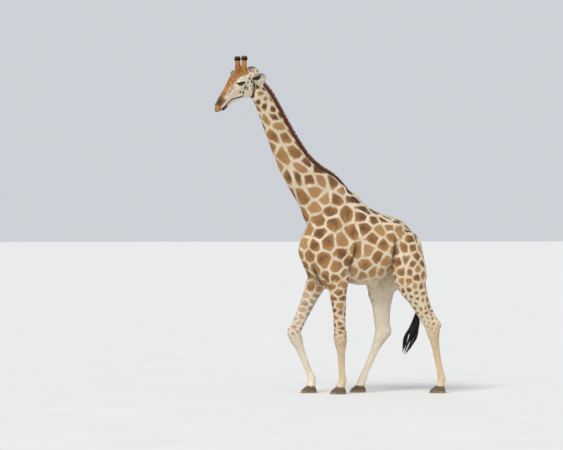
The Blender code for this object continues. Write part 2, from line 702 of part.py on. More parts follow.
def build():
    empty_scene()
    new_collection("giraffe")
    work = new_collection("cutters")
    frame = head_frame()
    coated = ("head", "neck", "trunk", "tail", "left_fore", "right_fore", "left_hind", "right_hind",
              "ear", "ossicone")
    coat = {name: material(name + " coat", COAT, 0.85) for name in coated}
    horn = material("bald horn", HORN, 0.5)
    hoof_horn = material("hoof horn", HOOF, 0.55)
    dark_hair = material("mane hair", HAIR, 0.8)
    tuft_hair = material("tail hair", BLACK_HAIR, 0.7)
    eye_glass = material("eye", EYE_BROWN, 0.08)

    body = whole_body(work, frame)
    parts = {}

    # Feet: the legs end level above the hooves, and each hoof is two claws.
    feet = {}
    for place, joints in (("fore", FORE_JOINTS), ("hind", HIND_JOINTS)):
        for name, side in (("left", -1), ("right", 1)):
            x, y, _ = joints[name][-1]
            feet[f"{name}_{place}"] = (x - 0.010, side * y, 0.0)
    below = [(x, y, z) for x in (-2, 2) for y in (-1, 1) for z in (-0.2, CORONET_HEIGHT + GAP)]
    floor_block = hull(below, "below the coronet", work)
    body = cut_by(body, floor_block, "body", work)
    keep_largest(body)
    for leg, foot in feet.items():
        side = -1 if leg.startswith("left") else 1
        for claw, which in ((side, "outer"), (-side, "inner")):
            name = f"{leg}_hoof_{which}"
            made = hoof_claw(foot, side, claw, name, work)
            parts[name] = finish(made, name, hoof_horn)

    # Eyes, in sockets open to the outside.
    for name, side in (("left", -1), ("right", 1)):
        made = eye(f"{name}_eye", -side, frame, work)
        socket = grown([made], work)
        body = cut_by(body, socket, "body", work)
        parts[f"{name}_eye"] = finish(made, f"{name}_eye", eye_glass)

    # What grows from the body is cut to its surface, with the gap: the horns first, then the ears.
    cutter = grown([body, parts["left_eye"], parts["right_eye"]], work)
    for name, side in (("left", 1), ("right", -1)):
        shaft, knob = ossicone(side, frame, work)
        shaft = cut_by(shaft, cutter, f"{name}_ossicone", work)
        keep_largest(shaft)
        parts[f"{name}_ossicone"] = finish(shaft, f"{name}_ossicone", coat["ossicone"])
        parts[f"{name}_ossicone_knob"] = finish(knob, f"{name}_ossicone_knob", horn)
    horns = grown([parts["left_ossicone"], parts["right_ossicone"]], work)
    for name, (root, axis, opening, sag) in EARS.items():
        made = cut_by(ear(name, frame, root, axis, opening, sag, work), cutter, f"{name}_ear", work)
        made = cut_by(made, horns, f"{name}_ear", work)
        keep_largest(made)
        parts[f"{name}_ear"] = finish(made, f"{name}_ear", coat["ear"])
    fin = cut_by(mane(work, frame), cutter, "mane", work)
    keep_largest(fin)
    parts["mane"] = finish(fin, "mane", dark_hair)
    tail = cut_by(hanging(TAIL, "tail", 10, work), cutter, "tail", work)
    keep_largest(tail)
    parts["tail"] = finish(tail, "tail", coat["tail"])
    tuft = hanging(TUFT, "tuft", 12, work, 0.8)
    tuft_cutter = grown([parts["tail"]], work)
    tuft = cut_by(tuft, tuft_cutter, "tail_tuft", work)
    keep_largest(tuft)
    parts["tail_tuft"] = finish(tuft, "tail_tuft", tuft_hair)

    # Head and neck, by planes behind the jaw and in front of the shoulders.
    head, body = split(body, (-1.560, 0, 4.530), (-0.881, 0, 0.473), 1.6, "head", work)
    neck, body = split(body, (-0.760, 0, 2.880), (-0.60, 0, 0.80), 3.2, "neck", work)

    # Legs: wedges take in the upper arm and thigh, then each is parted at the knee or hock.
    # A wedge has its side, x reach at the floor and at the top, inner face, and its sloping top's heights.
    wedges = {
        "left_fore": (-1, (-0.800, -0.130), (-0.800, -0.130), 0.095, 1.500, 2.150),
        "right_fore": (1, (-1.300, -0.130), (-1.300, -0.130), 0.095, 1.500, 2.150),
        "left_hind": (-1, (0.400, 1.500), (0.400, 1.500), 0.060, 1.500, 2.400),
        "right_hind": (1, (-0.300, 0.800), (0.150, 1.030), 0.060, 1.500, 2.400),
    }
    for leg, (side, at_floor, at_top, inner, low, high) in wedges.items():
        corners = []
        for foot_x, top_x in zip(at_floor, at_top):
            corners += [(foot_x, side * inner, -0.1), (foot_x, side * 0.60, -0.1)]
            corners += [(top_x, side * inner, low), (top_x, side * 0.60, high)]
        cutter = hull(corners, leg + " wedge", work)
        wider = hull(corners, leg + " wedge grown", work, grow=GAP)
        piece = boolean(body, cutter, "INTERSECT", leg, work)
        body = cut_by(body, wider, "trunk", work)
        name, place = leg.split("_")
        joints = (FORE_JOINTS if place == "fore" else HIND_JOINTS)[name]
        above, knee, below = (Vector((x, side * y, z)) for x, y, z in joints[2:5])
        along = ((knee - above).normalized() + (below - knee).normalized()).normalized()
        keep_largest(piece)
        lower, upper = split(piece, knee, along, 1.4, leg + "_lower", work)
        for part, label in ((upper, "upper"), (lower, "lower")):
            keep_largest(part)
            parts[f"{leg}_{label}"] = finish(part, f"{leg}_{label}", coat[leg])
    for made, name in ((head, "head"), (neck, "neck"), (body, "trunk")):
        keep_largest(made)
        parts[name] = finish(made, name, coat[name])

    for spare in list(work.objects):
        bpy.data.objects.remove(spare)
    for part in parts.values():
        part.data.transform(Matrix.Translation((STAND_SHIFT, 0, 0)))
        middle = sum((Vector(corner) for corner in part.bound_box), Vector()) / 8
        part.data.transform(Matrix.Translation(-middle))
        part.location = middle
        part.data.shade_smooth()


build()
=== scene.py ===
"""A walking bull giraffe for a museum: skin, coat, eyes, horns, hooves, mane and tail over its body parts."""

from math import cos, pi, radians, sin, sqrt, tan

import bmesh
import bpy
import numpy as np
from bpy.props import FloatProperty, FloatVectorProperty, IntProperty, PointerProperty
from mathutils import Matrix, Vector
from mathutils.bvhtree import BVHTree


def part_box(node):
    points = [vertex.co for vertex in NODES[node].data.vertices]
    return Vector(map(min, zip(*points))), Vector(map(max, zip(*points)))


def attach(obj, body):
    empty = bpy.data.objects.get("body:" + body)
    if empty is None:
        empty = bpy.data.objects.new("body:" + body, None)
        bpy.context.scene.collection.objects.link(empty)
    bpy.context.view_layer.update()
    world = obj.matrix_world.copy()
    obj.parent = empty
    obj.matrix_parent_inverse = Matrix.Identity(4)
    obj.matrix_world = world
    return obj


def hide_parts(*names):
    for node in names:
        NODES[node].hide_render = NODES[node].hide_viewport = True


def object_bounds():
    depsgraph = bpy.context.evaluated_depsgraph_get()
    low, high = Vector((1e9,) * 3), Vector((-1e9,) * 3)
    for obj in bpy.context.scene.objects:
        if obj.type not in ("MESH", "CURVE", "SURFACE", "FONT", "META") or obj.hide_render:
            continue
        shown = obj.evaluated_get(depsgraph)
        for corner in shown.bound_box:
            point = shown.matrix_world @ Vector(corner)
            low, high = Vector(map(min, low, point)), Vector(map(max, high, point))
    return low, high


bl_info = {
    "name": "Walking Giraffe",
    "version": (1, 0, 0),
    "blender": (4, 5, 0),
    "location": "View3D > Sidebar > Giraffe",
    "description": "Builds a giraffe's skin, coat, mane, tail, eyes, horns and hooves over its body parts",
    "category": "Object",
}

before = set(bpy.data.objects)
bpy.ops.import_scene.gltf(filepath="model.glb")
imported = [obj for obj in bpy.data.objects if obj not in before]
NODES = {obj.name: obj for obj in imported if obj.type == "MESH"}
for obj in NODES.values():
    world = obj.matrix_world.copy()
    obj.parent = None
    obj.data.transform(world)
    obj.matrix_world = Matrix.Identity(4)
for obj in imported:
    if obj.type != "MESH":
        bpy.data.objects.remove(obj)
CAD_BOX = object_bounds()

SIDES = ("left", "right")
LEGS = ("left_fore", "right_fore", "left_hind", "right_hind")
FLESH = tuple(name for name in NODES
              if not any(word in name for word in ("eye", "knob", "hoof", "mane", "tuft")))
UP = Vector((0, 0, 1))
HEAD_TURN = radians(23)      # to the animal's left
HEAD_DROOP = radians(45)     # nose below the horizontal
EYE_FORWARD, EYE_RISE = 0.306, 0.022   # of the eyes in the head's own frame, from the poll


def middle(name):
    """Middle of a body part's box."""
    low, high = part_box(name)
    return (low + high) / 2


def head_matrix():
    """The head's own frame: u to the nose, v to the animal's left, w out of the forehead, from the poll."""
    forward = Vector((-cos(HEAD_TURN), -sin(HEAD_TURN), 0))
    left = Vector((sin(HEAD_TURN), -cos(HEAD_TURN), 0))
    u = forward * cos(HEAD_DROOP) - UP * sin(HEAD_DROOP)
    w = forward * sin(HEAD_DROOP) + UP * cos(HEAD_DROOP)
    matrix = Matrix((u, left, w)).transposed().to_4x4()
    matrix.translation = (middle("left_eye") + middle("right_eye")) / 2 - u * EYE_FORWARD - w * EYE_RISE
    return matrix


HEAD = head_matrix()
TO_HEAD = HEAD.inverted()


# ---------------------------------------------------------------- meshes as arrays

def read(items, name, width, kind=np.float32):
    """One property of a mesh's vertices, edges or other items, as rows of `width` numbers."""
    values = np.empty(len(items) * width, kind)
    items.foreach_get(name, values)
    return values.reshape(-1, width)


def mesh_points(mesh):
    return read(mesh.vertices, "co", 3).astype(float)


def mesh_normals(mesh):
    return read(mesh.vertex_normals, "vector", 3).astype(float)


def mesh_edges(mesh):
    return read(mesh.edges, "vertices", 2, np.int32)


def set_points(mesh, points):
    mesh.vertices.foreach_set("co", points.astype(np.float32).ravel())
    mesh.update()


def unit(vectors):
    """Vectors of the same directions, 1 long."""
    return vectors / np.maximum(np.linalg.norm(vectors, axis=-1, keepdims=True), 1e-9)


def spread(values, edges, rounds, share=0.5, held=0.0):
    """Average each vertex's values with its neighbours' a number of times; `held` vertices keep theirs."""
    values = values.astype(float)
    size = len(values)
    count = np.bincount(edges.ravel(), minlength=size).clip(1)
    one, other = edges.T
    for _ in range(rounds):
        for column in values.reshape(size, -1).T:
            total = np.bincount(one, column[other], size) + np.bincount(other, column[one], size)
            column += share * (1 - held) * (total / count - column)
    return values


def smooth(points, edges, rounds, held=0.0):
    """Taubin smoothing: rounds of shrinking and of swelling, so that the form keeps its volume."""
    for _ in range(rounds):
        points = spread(points, edges, 1, 0.50, held)
        points = spread(points, edges, 1, -0.52, held)
    return points


def ramp(values, low, high):
    """0 at low, 1 at high and past it, smooth between; low may be the larger."""
    share = np.clip((values - low) / (high - low), 0.0, 1.0)
    return share * share * (3 - 2 * share)


def bell(values, width):
    """1 at 0, and fading away on both sides."""
    return np.exp(-(values / width) ** 2)


def most(*fields):
    """The largest of several fields, point by point."""
    return np.maximum.reduce(np.broadcast_arrays(*fields))


def beside(*columns):
    """Columns of numbers set side by side, as the rows of one array."""
    return np.stack(columns, 1)


def table(rows, at):
    """A value between the rows of a table, each of which is a place and the value there."""
    places, values = zip(*rows)
    return np.interp(at, places, values)


def from_path(points, path):
    """Distance from each point to a path of straight runs, and how far along all of it that is, 0 to 1."""
    path = np.array(path, float)
    runs = np.linalg.norm(np.diff(path, axis=0), axis=1)
    starts = np.concatenate(([0], np.cumsum(runs)))
    best = np.full(len(points), 1e9)
    along = np.zeros(len(points))
    for start, end, run, before in zip(path, path[1:], runs, starts):
        share = np.clip((points - start) @ (end - start) / run**2, 0, 1)
        distance = np.linalg.norm(points - (start + share[:, None] * (end - start)), axis=1)
        nearer = distance < best
        best[nearer] = distance[nearer]
        along[nearer] = ((before + share * run) / starts[-1])[nearer]
    return best, along


def curve_through(points, count):
    """`count` points spread along a smooth curve through the given ones."""
    points = np.array(points, float)
    gaps = np.linalg.norm(np.diff(points[:, :3], axis=0), axis=1)
    at = np.concatenate(([0], np.cumsum(gaps)))
    slopes = np.gradient(points, at, axis=0)
    wanted = np.linspace(0, at[-1], count)
    index = np.clip(np.searchsorted(at, wanted, "right") - 1, 0, len(gaps) - 1)
    t = ((wanted - at[index]) / gaps[index])[:, None]
    gap = gaps[index][:, None]
    return ((2 * t**3 - 3 * t**2 + 1) * points[index] + (t**3 - 2 * t**2 + t) * gap * slopes[index]
            + (3 * t**2 - 2 * t**3) * points[index + 1] + (t**3 - t**2) * gap * slopes[index + 1])


def new_object(name, data):
    made = bpy.data.objects.new(name, data)
    bpy.context.scene.collection.objects.link(made)
    return made


def new_mesh(name, mass):
    """A mesh from a bmesh, which is freed."""
    mesh = bpy.data.meshes.new(name)
    mass.to_mesh(mesh)
    mass.free()
    return mesh


def within(points, edge=0.0006):
    """Points kept inside the part's own box."""
    low, high = (np.array(corner) for corner in CAD_BOX)
    return np.clip(points, low + edge, high - edge)


def from_arrays(name, points, faces):
    """A mesh from an array of points and an array of faces, which all have the same number of corners."""
    mesh = bpy.data.meshes.new(name)
    mesh.vertices.add(len(points))
    mesh.vertices.foreach_set("co", points.astype(np.float32).ravel())
    mesh.loops.add(faces.size)
    mesh.loops.foreach_set("vertex_index", faces.astype(np.int32).ravel())
    mesh.polygons.add(len(faces))
    mesh.polygons.foreach_set("loop_start", np.arange(len(faces), dtype=np.int32) * faces.shape[1])
    mesh.update(calc_edges=True)
    return mesh


def modifier(item, name, kind, **settings):
    made = item.modifiers.new(name, kind)
    for key, value in settings.items():
        setattr(made, key, value)


def evaluated(item, name):
    """A new mesh that holds the item with its modifiers applied; the item goes."""
    bpy.context.view_layer.update()
    mesh = bpy.data.meshes.new_from_object(item.evaluated_get(bpy.context.evaluated_depsgraph_get()))
    mesh.name = name
    bpy.data.objects.remove(item)
    return mesh


def one_surface(mesh, name, spacing):
    """The mesh's outer surface as one mesh of evenly spaced points."""
    item = new_object(name, mesh)
    modifier(item, "one surface", "REMESH", mode="VOXEL", voxel_size=spacing)
    return evaluated(item, name)


def finish_piece(name, mesh, material, slot, *nodes):
    """Make a piece of a finished mesh, with its material, its body and the nodes that it stands for."""
    item = new_object(name, mesh)
    item.data.materials.clear()
    item.data.materials.append(material)
    item.data.shade_smooth()
    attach(item, "root")
    if nodes:
        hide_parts(*nodes)
    return item


def store(mesh, **fields):
    """Keep a number on each vertex for each field."""
    for name, values in fields.items():
        layer = mesh.attributes.new(name, "FLOAT", "POINT")
        layer.data.foreach_set("value", values.astype(np.float32))


def stored(mesh, name):
    """The numbers of a field, one for each vertex."""
    return read(mesh.attributes[name].data, "value", 1)[:, 0]


# ---------------------------------------------------------------- the skin

SKIN_GRID = 0.0150            # spacing of the skin's mesh on the body
SKIN_TRIANGLES = 197000       # left when the skin is thinned out
COAT_DEPTH = 0.003            # the skin lies this far inside the body's outline
OVERLAP = 0.0012              # swells the parts until the cuts between them close
EYE_RADIUS = 0.029
EYE_TILT = radians(32)        # the lids' long axis, up from the line of the nose
LID_LENGTH, UPPER_LID, LOWER_LID = 0.0265, 0.0150, 0.0125   # half sizes of the opening
BROW, CHEEK = 0.016, 0.30     # height of the skin past the eyeball's edge, and how steeply it falls away
ANKLE_DROP, ANKLE_SWELL = 0.018, 0.12   # how the legs' ends reach down inside the hooves and widen to them
# The line between the lips from the nose to the corner, and the left nostril's slit, in the head's frame.
MOUTH = ((0.842, -0.022), (0.799, -0.030), (0.723, -0.041), (0.636, -0.044), (0.583, -0.054), (0.548, -0.066))
NOSTRIL = ((0.762, 0.037, 0.058), (0.736, 0.045, 0.074), (0.706, 0.046, 0.086), (0.680, 0.039, 0.096))
NOSTRIL_WIDTH = 0.0065


def join_flesh(names, swell):
    """The named nodes in one bmesh, each swollen a little along its normals."""
    mass = bmesh.new()
    owner = []
    for number, name in enumerate(names):
        mesh = NODES[name].data.copy()
        set_points(mesh, mesh_points(mesh) + mesh_normals(mesh) * swell)
        mass.from_mesh(mesh)
        owner += [number] * len(mesh.polygons)
        bpy.data.meshes.remove(mesh)
    return mass, owner


def largest_part(mesh):
    """Keep only the mesh's largest connected piece."""
    edges = mesh_edges(mesh)
    label = np.arange(len(mesh.vertices))
    while True:
        low = np.minimum(label[edges[:, 0]], label[edges[:, 1]])
        fresh = label.copy()
        np.minimum.at(fresh, edges[:, 0], low)
        np.minimum.at(fresh, edges[:, 1], low)
        fresh = fresh[fresh]
        if (fresh == label).all():
            break
        label = fresh
    keep = label == np.bincount(label).argmax()
    if not keep.all():
        mass = bmesh.new()
        mass.from_mesh(mesh)
        mass.verts.ensure_lookup_table()
        stray = [mass.verts[i] for i in np.flatnonzero(~keep)]
        bmesh.ops.delete(mass, geom=stray, context="VERTS")
        mass.to_mesh(mesh)
        mass.free()


def refine(mesh, near):
    """Halve the mesh's spacing where `near` is true, and smooth it there."""
    mass = bmesh.new()
    mass.from_mesh(mesh)
    edges = [e for e in mass.edges if near[e.verts[0].index] and near[e.verts[1].index]]
    bmesh.ops.subdivide_edges(mass, edges=edges, cuts=1, use_grid_fill=True)
    wide = [f for f in mass.faces if len(f.verts) > 4]
    bmesh.ops.triangulate(mass, faces=wide)
    mass.to_mesh(mesh)
    mass.free()
    points = mesh_points(mesh)
    held = np.zeros(len(points))
    held[:len(near)] = ~near
    set_points(mesh, smooth(points, mesh_edges(mesh), 2, held))


def in_head(points):
    """Points in the head's own frame: forward, to the animal's left, and up out of the forehead."""
    turn = np.array(TO_HEAD)
    return points @ turn[:3, :3].T + turn[:3, 3]


def head_turned(vectors):
    """Directions given in the head's own frame, as they are in the scene."""
    return np.asarray(vectors) @ np.array(HEAD)[:3, :3].T


def from_head(points):
    """Points given in the head's own frame, as they are in the scene."""
    return head_turned(points) + np.array(HEAD)[:3, 3]


def away(points, place, scale=(1, 1, 1)):
    """Distance of each point from a place, with each axis scaled."""
    return np.linalg.norm((points - place) * scale, axis=1)


def nostril(side):
    """The slit of one nostril, in the head's own frame."""
    return [(u, side * v, w) for u, v, w in NOSTRIL]


def middle_of_ankle(leg):
    """Middle of a leg's lower end, above its hoof."""
    points = mesh_points(NODES[leg + "_lower"].data)
    end = points[points[:, 2] < points[:, 2].min() + 0.012]
    return (end[:, :2].min(0) + end[:, :2].max(0)) / 2


def skin_shell():
    """The flesh in one closed surface, finer on the head and feet, and finest at eyes, nostrils and lips."""
    solid = [name for name in FLESH if not name.endswith("_ear")] + ["left_eye", "right_eye"]
    mesh = one_surface(new_mesh("flesh", join_flesh(solid, OVERLAP)[0]), "skin", SKIN_GRID)
    largest_part(mesh)
    points = mesh_points(mesh)
    local = in_head(points)
    on_head = (local[:, 0] > -0.12) & (local[:, 2] > -0.32) & (points[:, 2] > 4.2)
    refine(mesh, on_head | (points[:, 2] < 0.36))
    points = mesh_points(mesh)
    head = ramp(in_head(points)[:, 0], -0.16, 0.0) * (points[:, 2] > 4.2)
    edges = mesh_edges(mesh)
    points = smooth(points, edges, 26, most(head, ramp(points[:, 2], 0.42, 0.30)))
    points = smooth(points, edges, 12)
    # Where the horns, the tail and the lips join the head and rump the parts meet in small steps.
    local = in_head(points)
    rough = most(
        bell(away(np.abs(local), (0.140, 0.085, 0.085), (1, 1, 0.8)), 0.075),
        bell(away(points, (1.385, 0, 2.30), (1, 1, 0.7)), 0.13),
        bell(away(points, (1.02, 0, 2.52), (1, 0, 1)), 0.14) * ramp(np.abs(points[:, 1]), 0.10, 0.18),
        ramp(local[:, 0], 0.70, 0.80) * (points[:, 2] > 4.0))
    points = smooth(points, edges, 24, 1 - np.clip(rough * 1.6, 0, 1))
    end = 1 - ramp(points[:, 2], 0.105, 0.150)
    points[:, 2] -= ANKLE_DROP * end
    for leg in LEGS:
        offset = points[:, :2] - middle_of_ankle(leg)
        near = np.linalg.norm(offset, axis=1) < 0.16
        points[:, :2] += offset * (ANKLE_SWELL * end * near)[:, None]
    set_points(mesh, points)
    for reach in (0.052, 0.042):
        local = in_head(mesh_points(mesh))
        near = (from_path(local[:, (0, 2)], MOUTH)[0] < reach * 0.40) & (local[:, 0] > 0.5)
        for side in (-1, 1):
            near |= away(local, (EYE_FORWARD, side * 0.112, EYE_RISE)) < reach
            near |= from_path(local, nostril(side))[0] < reach * 0.65
        refine(mesh, near)
    return mesh


def eye_axes(side):
    """Directions along the lids, above them and out of the eye, in the head's own frame."""
    tilt = np.array((cos(EYE_TILT), 0, sin(EYE_TILT)))
    return tilt, np.array((-tilt[2], 0, tilt[0])), np.array((0.0, side, 0.0))


def shape_eyelids(local, eye_aside, side):
    """How the skin moves to make lids: under the ball inside the opening, and out over it at the rim."""
    offset = local - (EYE_FORWARD, side * eye_aside, EYE_RISE)
    along, above, out = eye_axes(side)
    a, b, o = offset @ along, offset @ above, offset @ out
    near = (o > 0.0) & (a**2 + b**2 < 0.085**2)
    lid = np.where(b > 0, UPPER_LID, LOWER_LID)
    opening = np.sqrt((a / LID_LENGTH) ** 2 + (b / lid) ** 2)
    ball = np.sqrt(np.maximum(EYE_RADIUS**2 - a**2 - b**2, 0.0))
    # Past the ball's own edge the lid's surface falls away towards the cheek.
    slope = np.sqrt(np.maximum(a**2 + b**2, 1e-12))
    ball = np.maximum(ball, BROW - CHEEK * np.maximum(slope - 0.024, 0))
    upper = ramp(b, -0.004, 0.008)
    rim = 0.0028 + 0.0022 * upper
    lift = -0.0045 + (0.0045 + rim) * ramp(opening, 0.84, 1.04)
    lift += 0.0024 * upper * bell(opening - 1.22, 0.16)
    lift -= 0.0026 * (0.35 + 0.65 * upper) * bell(opening - 1.56, 0.11)
    lift += 0.0016 * bell(opening - 1.84, 0.15)
    blend = 1 - ramp(opening, 1.35, 2.55)
    moved = o + (ball + lift - o) * blend
    # A soft hollow in front of the eye, and the brow's shelf above it.
    moved = moved + 0.006 * upper * bell(opening - 2.25, 0.50) * (b > 0)
    moved = moved - 0.0035 * bell(np.hypot(a - 0.050, b + 0.010), 0.020)
    shift = np.where(near, moved - o, 0.0)
    return shift[:, None] * out, np.where(near, opening, 9.0)


def shape_lids(points):
    """The points with both eyes' lids shaped, and how far out of an eye's opening each is: 1 at its rim."""
    local = in_head(points)
    eyes = in_head(np.array([middle(side + "_eye") for side in SIDES]))
    rims = []
    for side in (-1, 1):
        shift, opening = shape_eyelids(local, (eyes[0, 1] - eyes[1, 1]) / 2, side)
        local = local + shift
        rims.append(opening)
    return from_head(local), np.minimum(*rims)


def press(points, normals, path, depth, width, tail=0.16):
    """Move the skin in along a path, or out with a negative depth, fading at the path's ends."""
    distance, along = from_path(points, path)
    fade = ramp(along, 0.0, tail) * ramp(1 - along, 0.0, tail)
    return points - normals * (depth * bell(distance, width) * fade)[:, None]


FACE_LINES = (
    # Path as forward and up in the head's own frame, depth (negative stands out), half width: mouth's corner,
    ((0.545, -0.066), (0.520, -0.080), (0.495, -0.088), 0.0030, 0.0065),
    # cheek's line and the hollow below it, jaw's muscle and its rear edge, the hollow under the nose's ridge,
    ((0.420, -0.010), (0.360, -0.030), (0.290, -0.048), (0.215, -0.052), -0.0050, 0.0170),
    ((0.430, -0.040), (0.360, -0.062), (0.285, -0.084), 0.0038, 0.0140),
    ((0.245, -0.090), (0.250, -0.150), (0.205, -0.205), -0.0030, 0.0260),
    ((0.130, -0.080), (0.135, -0.140), (0.160, -0.195), 0.0045, 0.0130),
    ((0.560, 0.060), (0.500, 0.052), (0.440, 0.050), (0.385, 0.052), 0.0035, 0.0170),
    # two veins, the fold behind the nostril and the hollow behind the eye.
    ((0.620, 0.006), (0.540, -0.006), (0.460, -0.022), (0.400, -0.052), (0.372, -0.110), -0.0017, 0.0045),
    ((0.520, -0.005), (0.470, 0.030), (0.420, 0.036), -0.0014, 0.0040),
    ((0.660, 0.020), (0.655, 0.060), (0.640, 0.090), 0.0018, 0.0060),
    ((0.235, 0.080), (0.205, 0.055), (0.190, 0.020), 0.0045, 0.0150),
)


def above_mouth(u, w):
    """Height over the line between the lips at the same place along the head, negative below the line."""
    return w - table([(-forward, up) for forward, up in MOUTH], -u)


def face_features(points, normals):
    """The points with nostrils, lips and the face's bones, veins and folds, and how dark and bare each is."""
    local = in_head(points)
    shift = np.zeros(len(points))
    dark = np.zeros(len(points))
    flat = local[:, (0, 2)]
    u, w = flat.T
    on_muzzle = u > 0.50
    # Nostrils: long slits along the nose, with a raised rim behind and above.
    for side in (-1, 1):
        distance, along = from_path(local, nostril(side))
        width = NOSTRIL_WIDTH * (0.55 + 0.75 * np.sin(pi * np.clip(along, 0, 1)) ** 0.7)
        slit = np.exp(-(distance / width) ** 3)
        shift -= 0.0150 * slit
        shift += 0.0030 * bell(distance - 0.017, 0.008)
        dark = np.maximum(dark, slit)
    # Mouth: a groove between the lips, which are full, and the upper one overhangs.
    distance, along = from_path(flat, MOUTH)
    below = np.where(on_muzzle, above_mouth(u, w), 0.0)
    open_to = on_muzzle * ramp(1 - along, 0.0, 0.10)
    groove = bell(distance, 0.0040) * open_to
    shift -= 0.0085 * groove
    shift += 0.0036 * bell(below - 0.013, 0.009) * open_to * ramp(u, 0.50, 0.62)
    shift += 0.0030 * bell(below + 0.012, 0.008) * open_to * ramp(u, 0.56, 0.66)
    shift -= 0.0030 * bell(below + 0.030, 0.008) * ramp(u, 0.60, 0.70) * ramp(0.79 - u, 0.0, 0.03)
    sides = ramp(np.abs(local[:, 1]), 0.020, 0.050)
    for *path, depth, width in FACE_LINES:
        distance, along = from_path(flat, path)
        fade = ramp(along, -0.02, 0.20) * ramp(1 - along, -0.02, 0.20)
        shift -= depth * bell(distance, width) * fade * sides
    return points + normals * shift[:, None], np.maximum(dark, groove * 0.9)


BODY_LINES = (
    # Folds and muscle edges: sides they are on, path as x and z, depth (negative stands out), half width.
    ("left", ((-0.335, 2.60), (-0.300, 2.45), (-0.300, 2.30)), 0.014, 0.022),
    ("left", ((-0.300, 1.98), (-0.210, 1.80), (-0.110, 1.62), (-0.060, 1.50)), 0.024, 0.026),
    ("right", ((-0.330, 1.98), (-0.260, 1.76), (-0.200, 1.62)), 0.018, 0.026),
    ("left", ((0.370, 2.30), (0.345, 2.10), (0.300, 1.92), (0.250, 1.76)), 0.032, 0.020),
    ("right", ((0.330, 2.30), (0.300, 2.10), (0.240, 1.90), (0.150, 1.72)), 0.016, 0.026),
    ("both", ((0.995, 2.42), (0.965, 2.20), (0.940, 2.00), (0.930, 1.80)), 0.030, 0.024),
    ("both", ((0.960, 1.86), (0.985, 1.72), (1.030, 1.60)), -0.012, 0.020),
    # Shoulder blade's ridge and rear edge, point of the shoulder, hip point, and the haunch's two seams.
    ("both", ((0.170, 2.86), (0.080, 2.60), (-0.040, 2.34)), -0.012, 0.034),
    ("both", ((0.300, 2.80), (0.255, 2.60), (0.230, 2.40), (0.160, 2.22)), 0.012, 0.036),
    ("both", ((-0.060, 2.78), (-0.130, 2.56), (-0.200, 2.36)), 0.010, 0.034),
    ("both", ((-0.200, 2.20), (-0.150, 2.12), (-0.090, 2.08)), -0.014, 0.050),
    ("both", ((0.990, 2.62), (1.010, 2.54), (1.020, 2.44)), -0.008, 0.045),
    ("both", ((1.290, 2.36), (1.330, 2.10), (1.400, 1.84), (1.430, 1.60)), 0.010, 0.028),
    ("both", ((1.130, 2.28), (1.200, 2.05), (1.230, 1.84)), -0.008, 0.050),
    # The hollow in front of the tendon that runs down to each hock.
    ("left", ((1.455, 1.46), (1.482, 1.34), (1.525, 1.20), (1.575, 1.06)), 0.016, 0.016),
    ("right", ((1.020, 1.44), (0.985, 1.26), (0.970, 1.10), (0.975, 0.98)), 0.016, 0.016),
    # Neck: the groove of the vein above the windpipe, the muscle seam above it, and the nape's edge.
    ("both", ((-1.190, 4.43), (-1.035, 4.18), (-0.900, 3.82), (-0.770, 3.50), (-0.650, 3.22),
              (-0.500, 2.92), (-0.370, 2.66)), 0.010, 0.026),
    ("both", ((-1.020, 4.45), (-0.860, 4.10), (-0.700, 3.76), (-0.520, 3.44), (-0.300, 3.12),
              (-0.120, 2.92)), 0.007, 0.034),
    ("both", ((-0.950, 4.36), (-0.760, 4.00), (-0.560, 3.66), (-0.320, 3.40), (-0.050, 3.20)), -0.005, 0.026),
)
RIBS = 9                      # that show faintly behind the shoulder
RIB_FROM, RIB_TO = 0.36, 0.92


def body_lines():
    """Each line of the body, once for each side that it is on."""
    for sides, path, depth, width in BODY_LINES:
        for side in (SIDES if sides == "both" else (sides,)):
            yield side, path, depth, width


def on_line(points, normals, path, side, width, tail=0.16):
    """How close each point of one flank is to a line drawn on it from the side: 1 on the line, 0 away."""
    distance, along = from_path(points[:, (0, 2)], path)
    outward = -1 if side == "left" else 1
    facing = ramp(normals[:, 1] * outward, 0.15, 0.45) * (points[:, 1] * outward > 0.04)
    return bell(distance, width) * facing * ramp(along, 0.0, tail) * ramp(1 - along, 0.0, tail)


def leg_line(leg):
    """The middle line of a lower leg, from the hoof's top upwards."""
    cloud = mesh_points(NODES[leg + "_lower"].data)
    path = []
    for z in np.linspace(cloud[:, 2].min() + 0.02, cloud[:, 2].max() - 0.02, 12):
        near = cloud[np.abs(cloud[:, 2] - z) < 0.055, :2]
        path.append((*(near.min(0) + near.max(0)) / 2, z))
    return np.array(path)


def body_features(points, normals):
    """Folds, muscles, ribs and tendons that show through the skin of the neck, body and legs."""
    for side, path, depth, width in body_lines():
        points = points - normals * (depth * on_line(points, normals, path, side, width))[:, None]
    # Ribs, strongest low behind the elbow.
    share = (points[:, 0] - RIB_FROM + 0.22 * (points[:, 2] - 2.1)) / (RIB_TO - RIB_FROM)
    belt = ramp(share, 0.0, 0.12) * ramp(1 - share, 0.0, 0.2) * ramp(points[:, 2], 1.66, 1.85)
    belt *= ramp(2.62 - points[:, 2], 0.0, 0.3) * ramp(np.abs(points[:, 1]), 0.18, 0.26)
    points = points + normals * (0.0013 * belt * np.sin(2 * pi * RIBS * share))[:, None]
    sheath = bell(away(points, (0.735, 0, 1.625), (0.7, 1, 1)), 0.030)
    points = points + np.outer(0.026 * sheath, (-0.4, 0, -0.9))
    # Legs: a groove on each side between the cannon bone and the tendon behind it.
    for leg in LEGS:
        line = leg_line(leg)
        for face in (-1, 1):
            points = press(points, normals, line[2:9] + (0.014, face * 0.045, 0), 0.0065, 0.012)
        # The knee or hock stands out at the top, over a slight hollow.
        for rise, depth in ((0.02, -0.006), (-0.055, 0.005)):
            around = away(points, line[-1] + (-0.05, 0, rise), (1, 1, 1.4))
            points = points - normals * (depth * bell(around, 0.050))[:, None]
    return points


# ---------------------------------------------------------------- ears

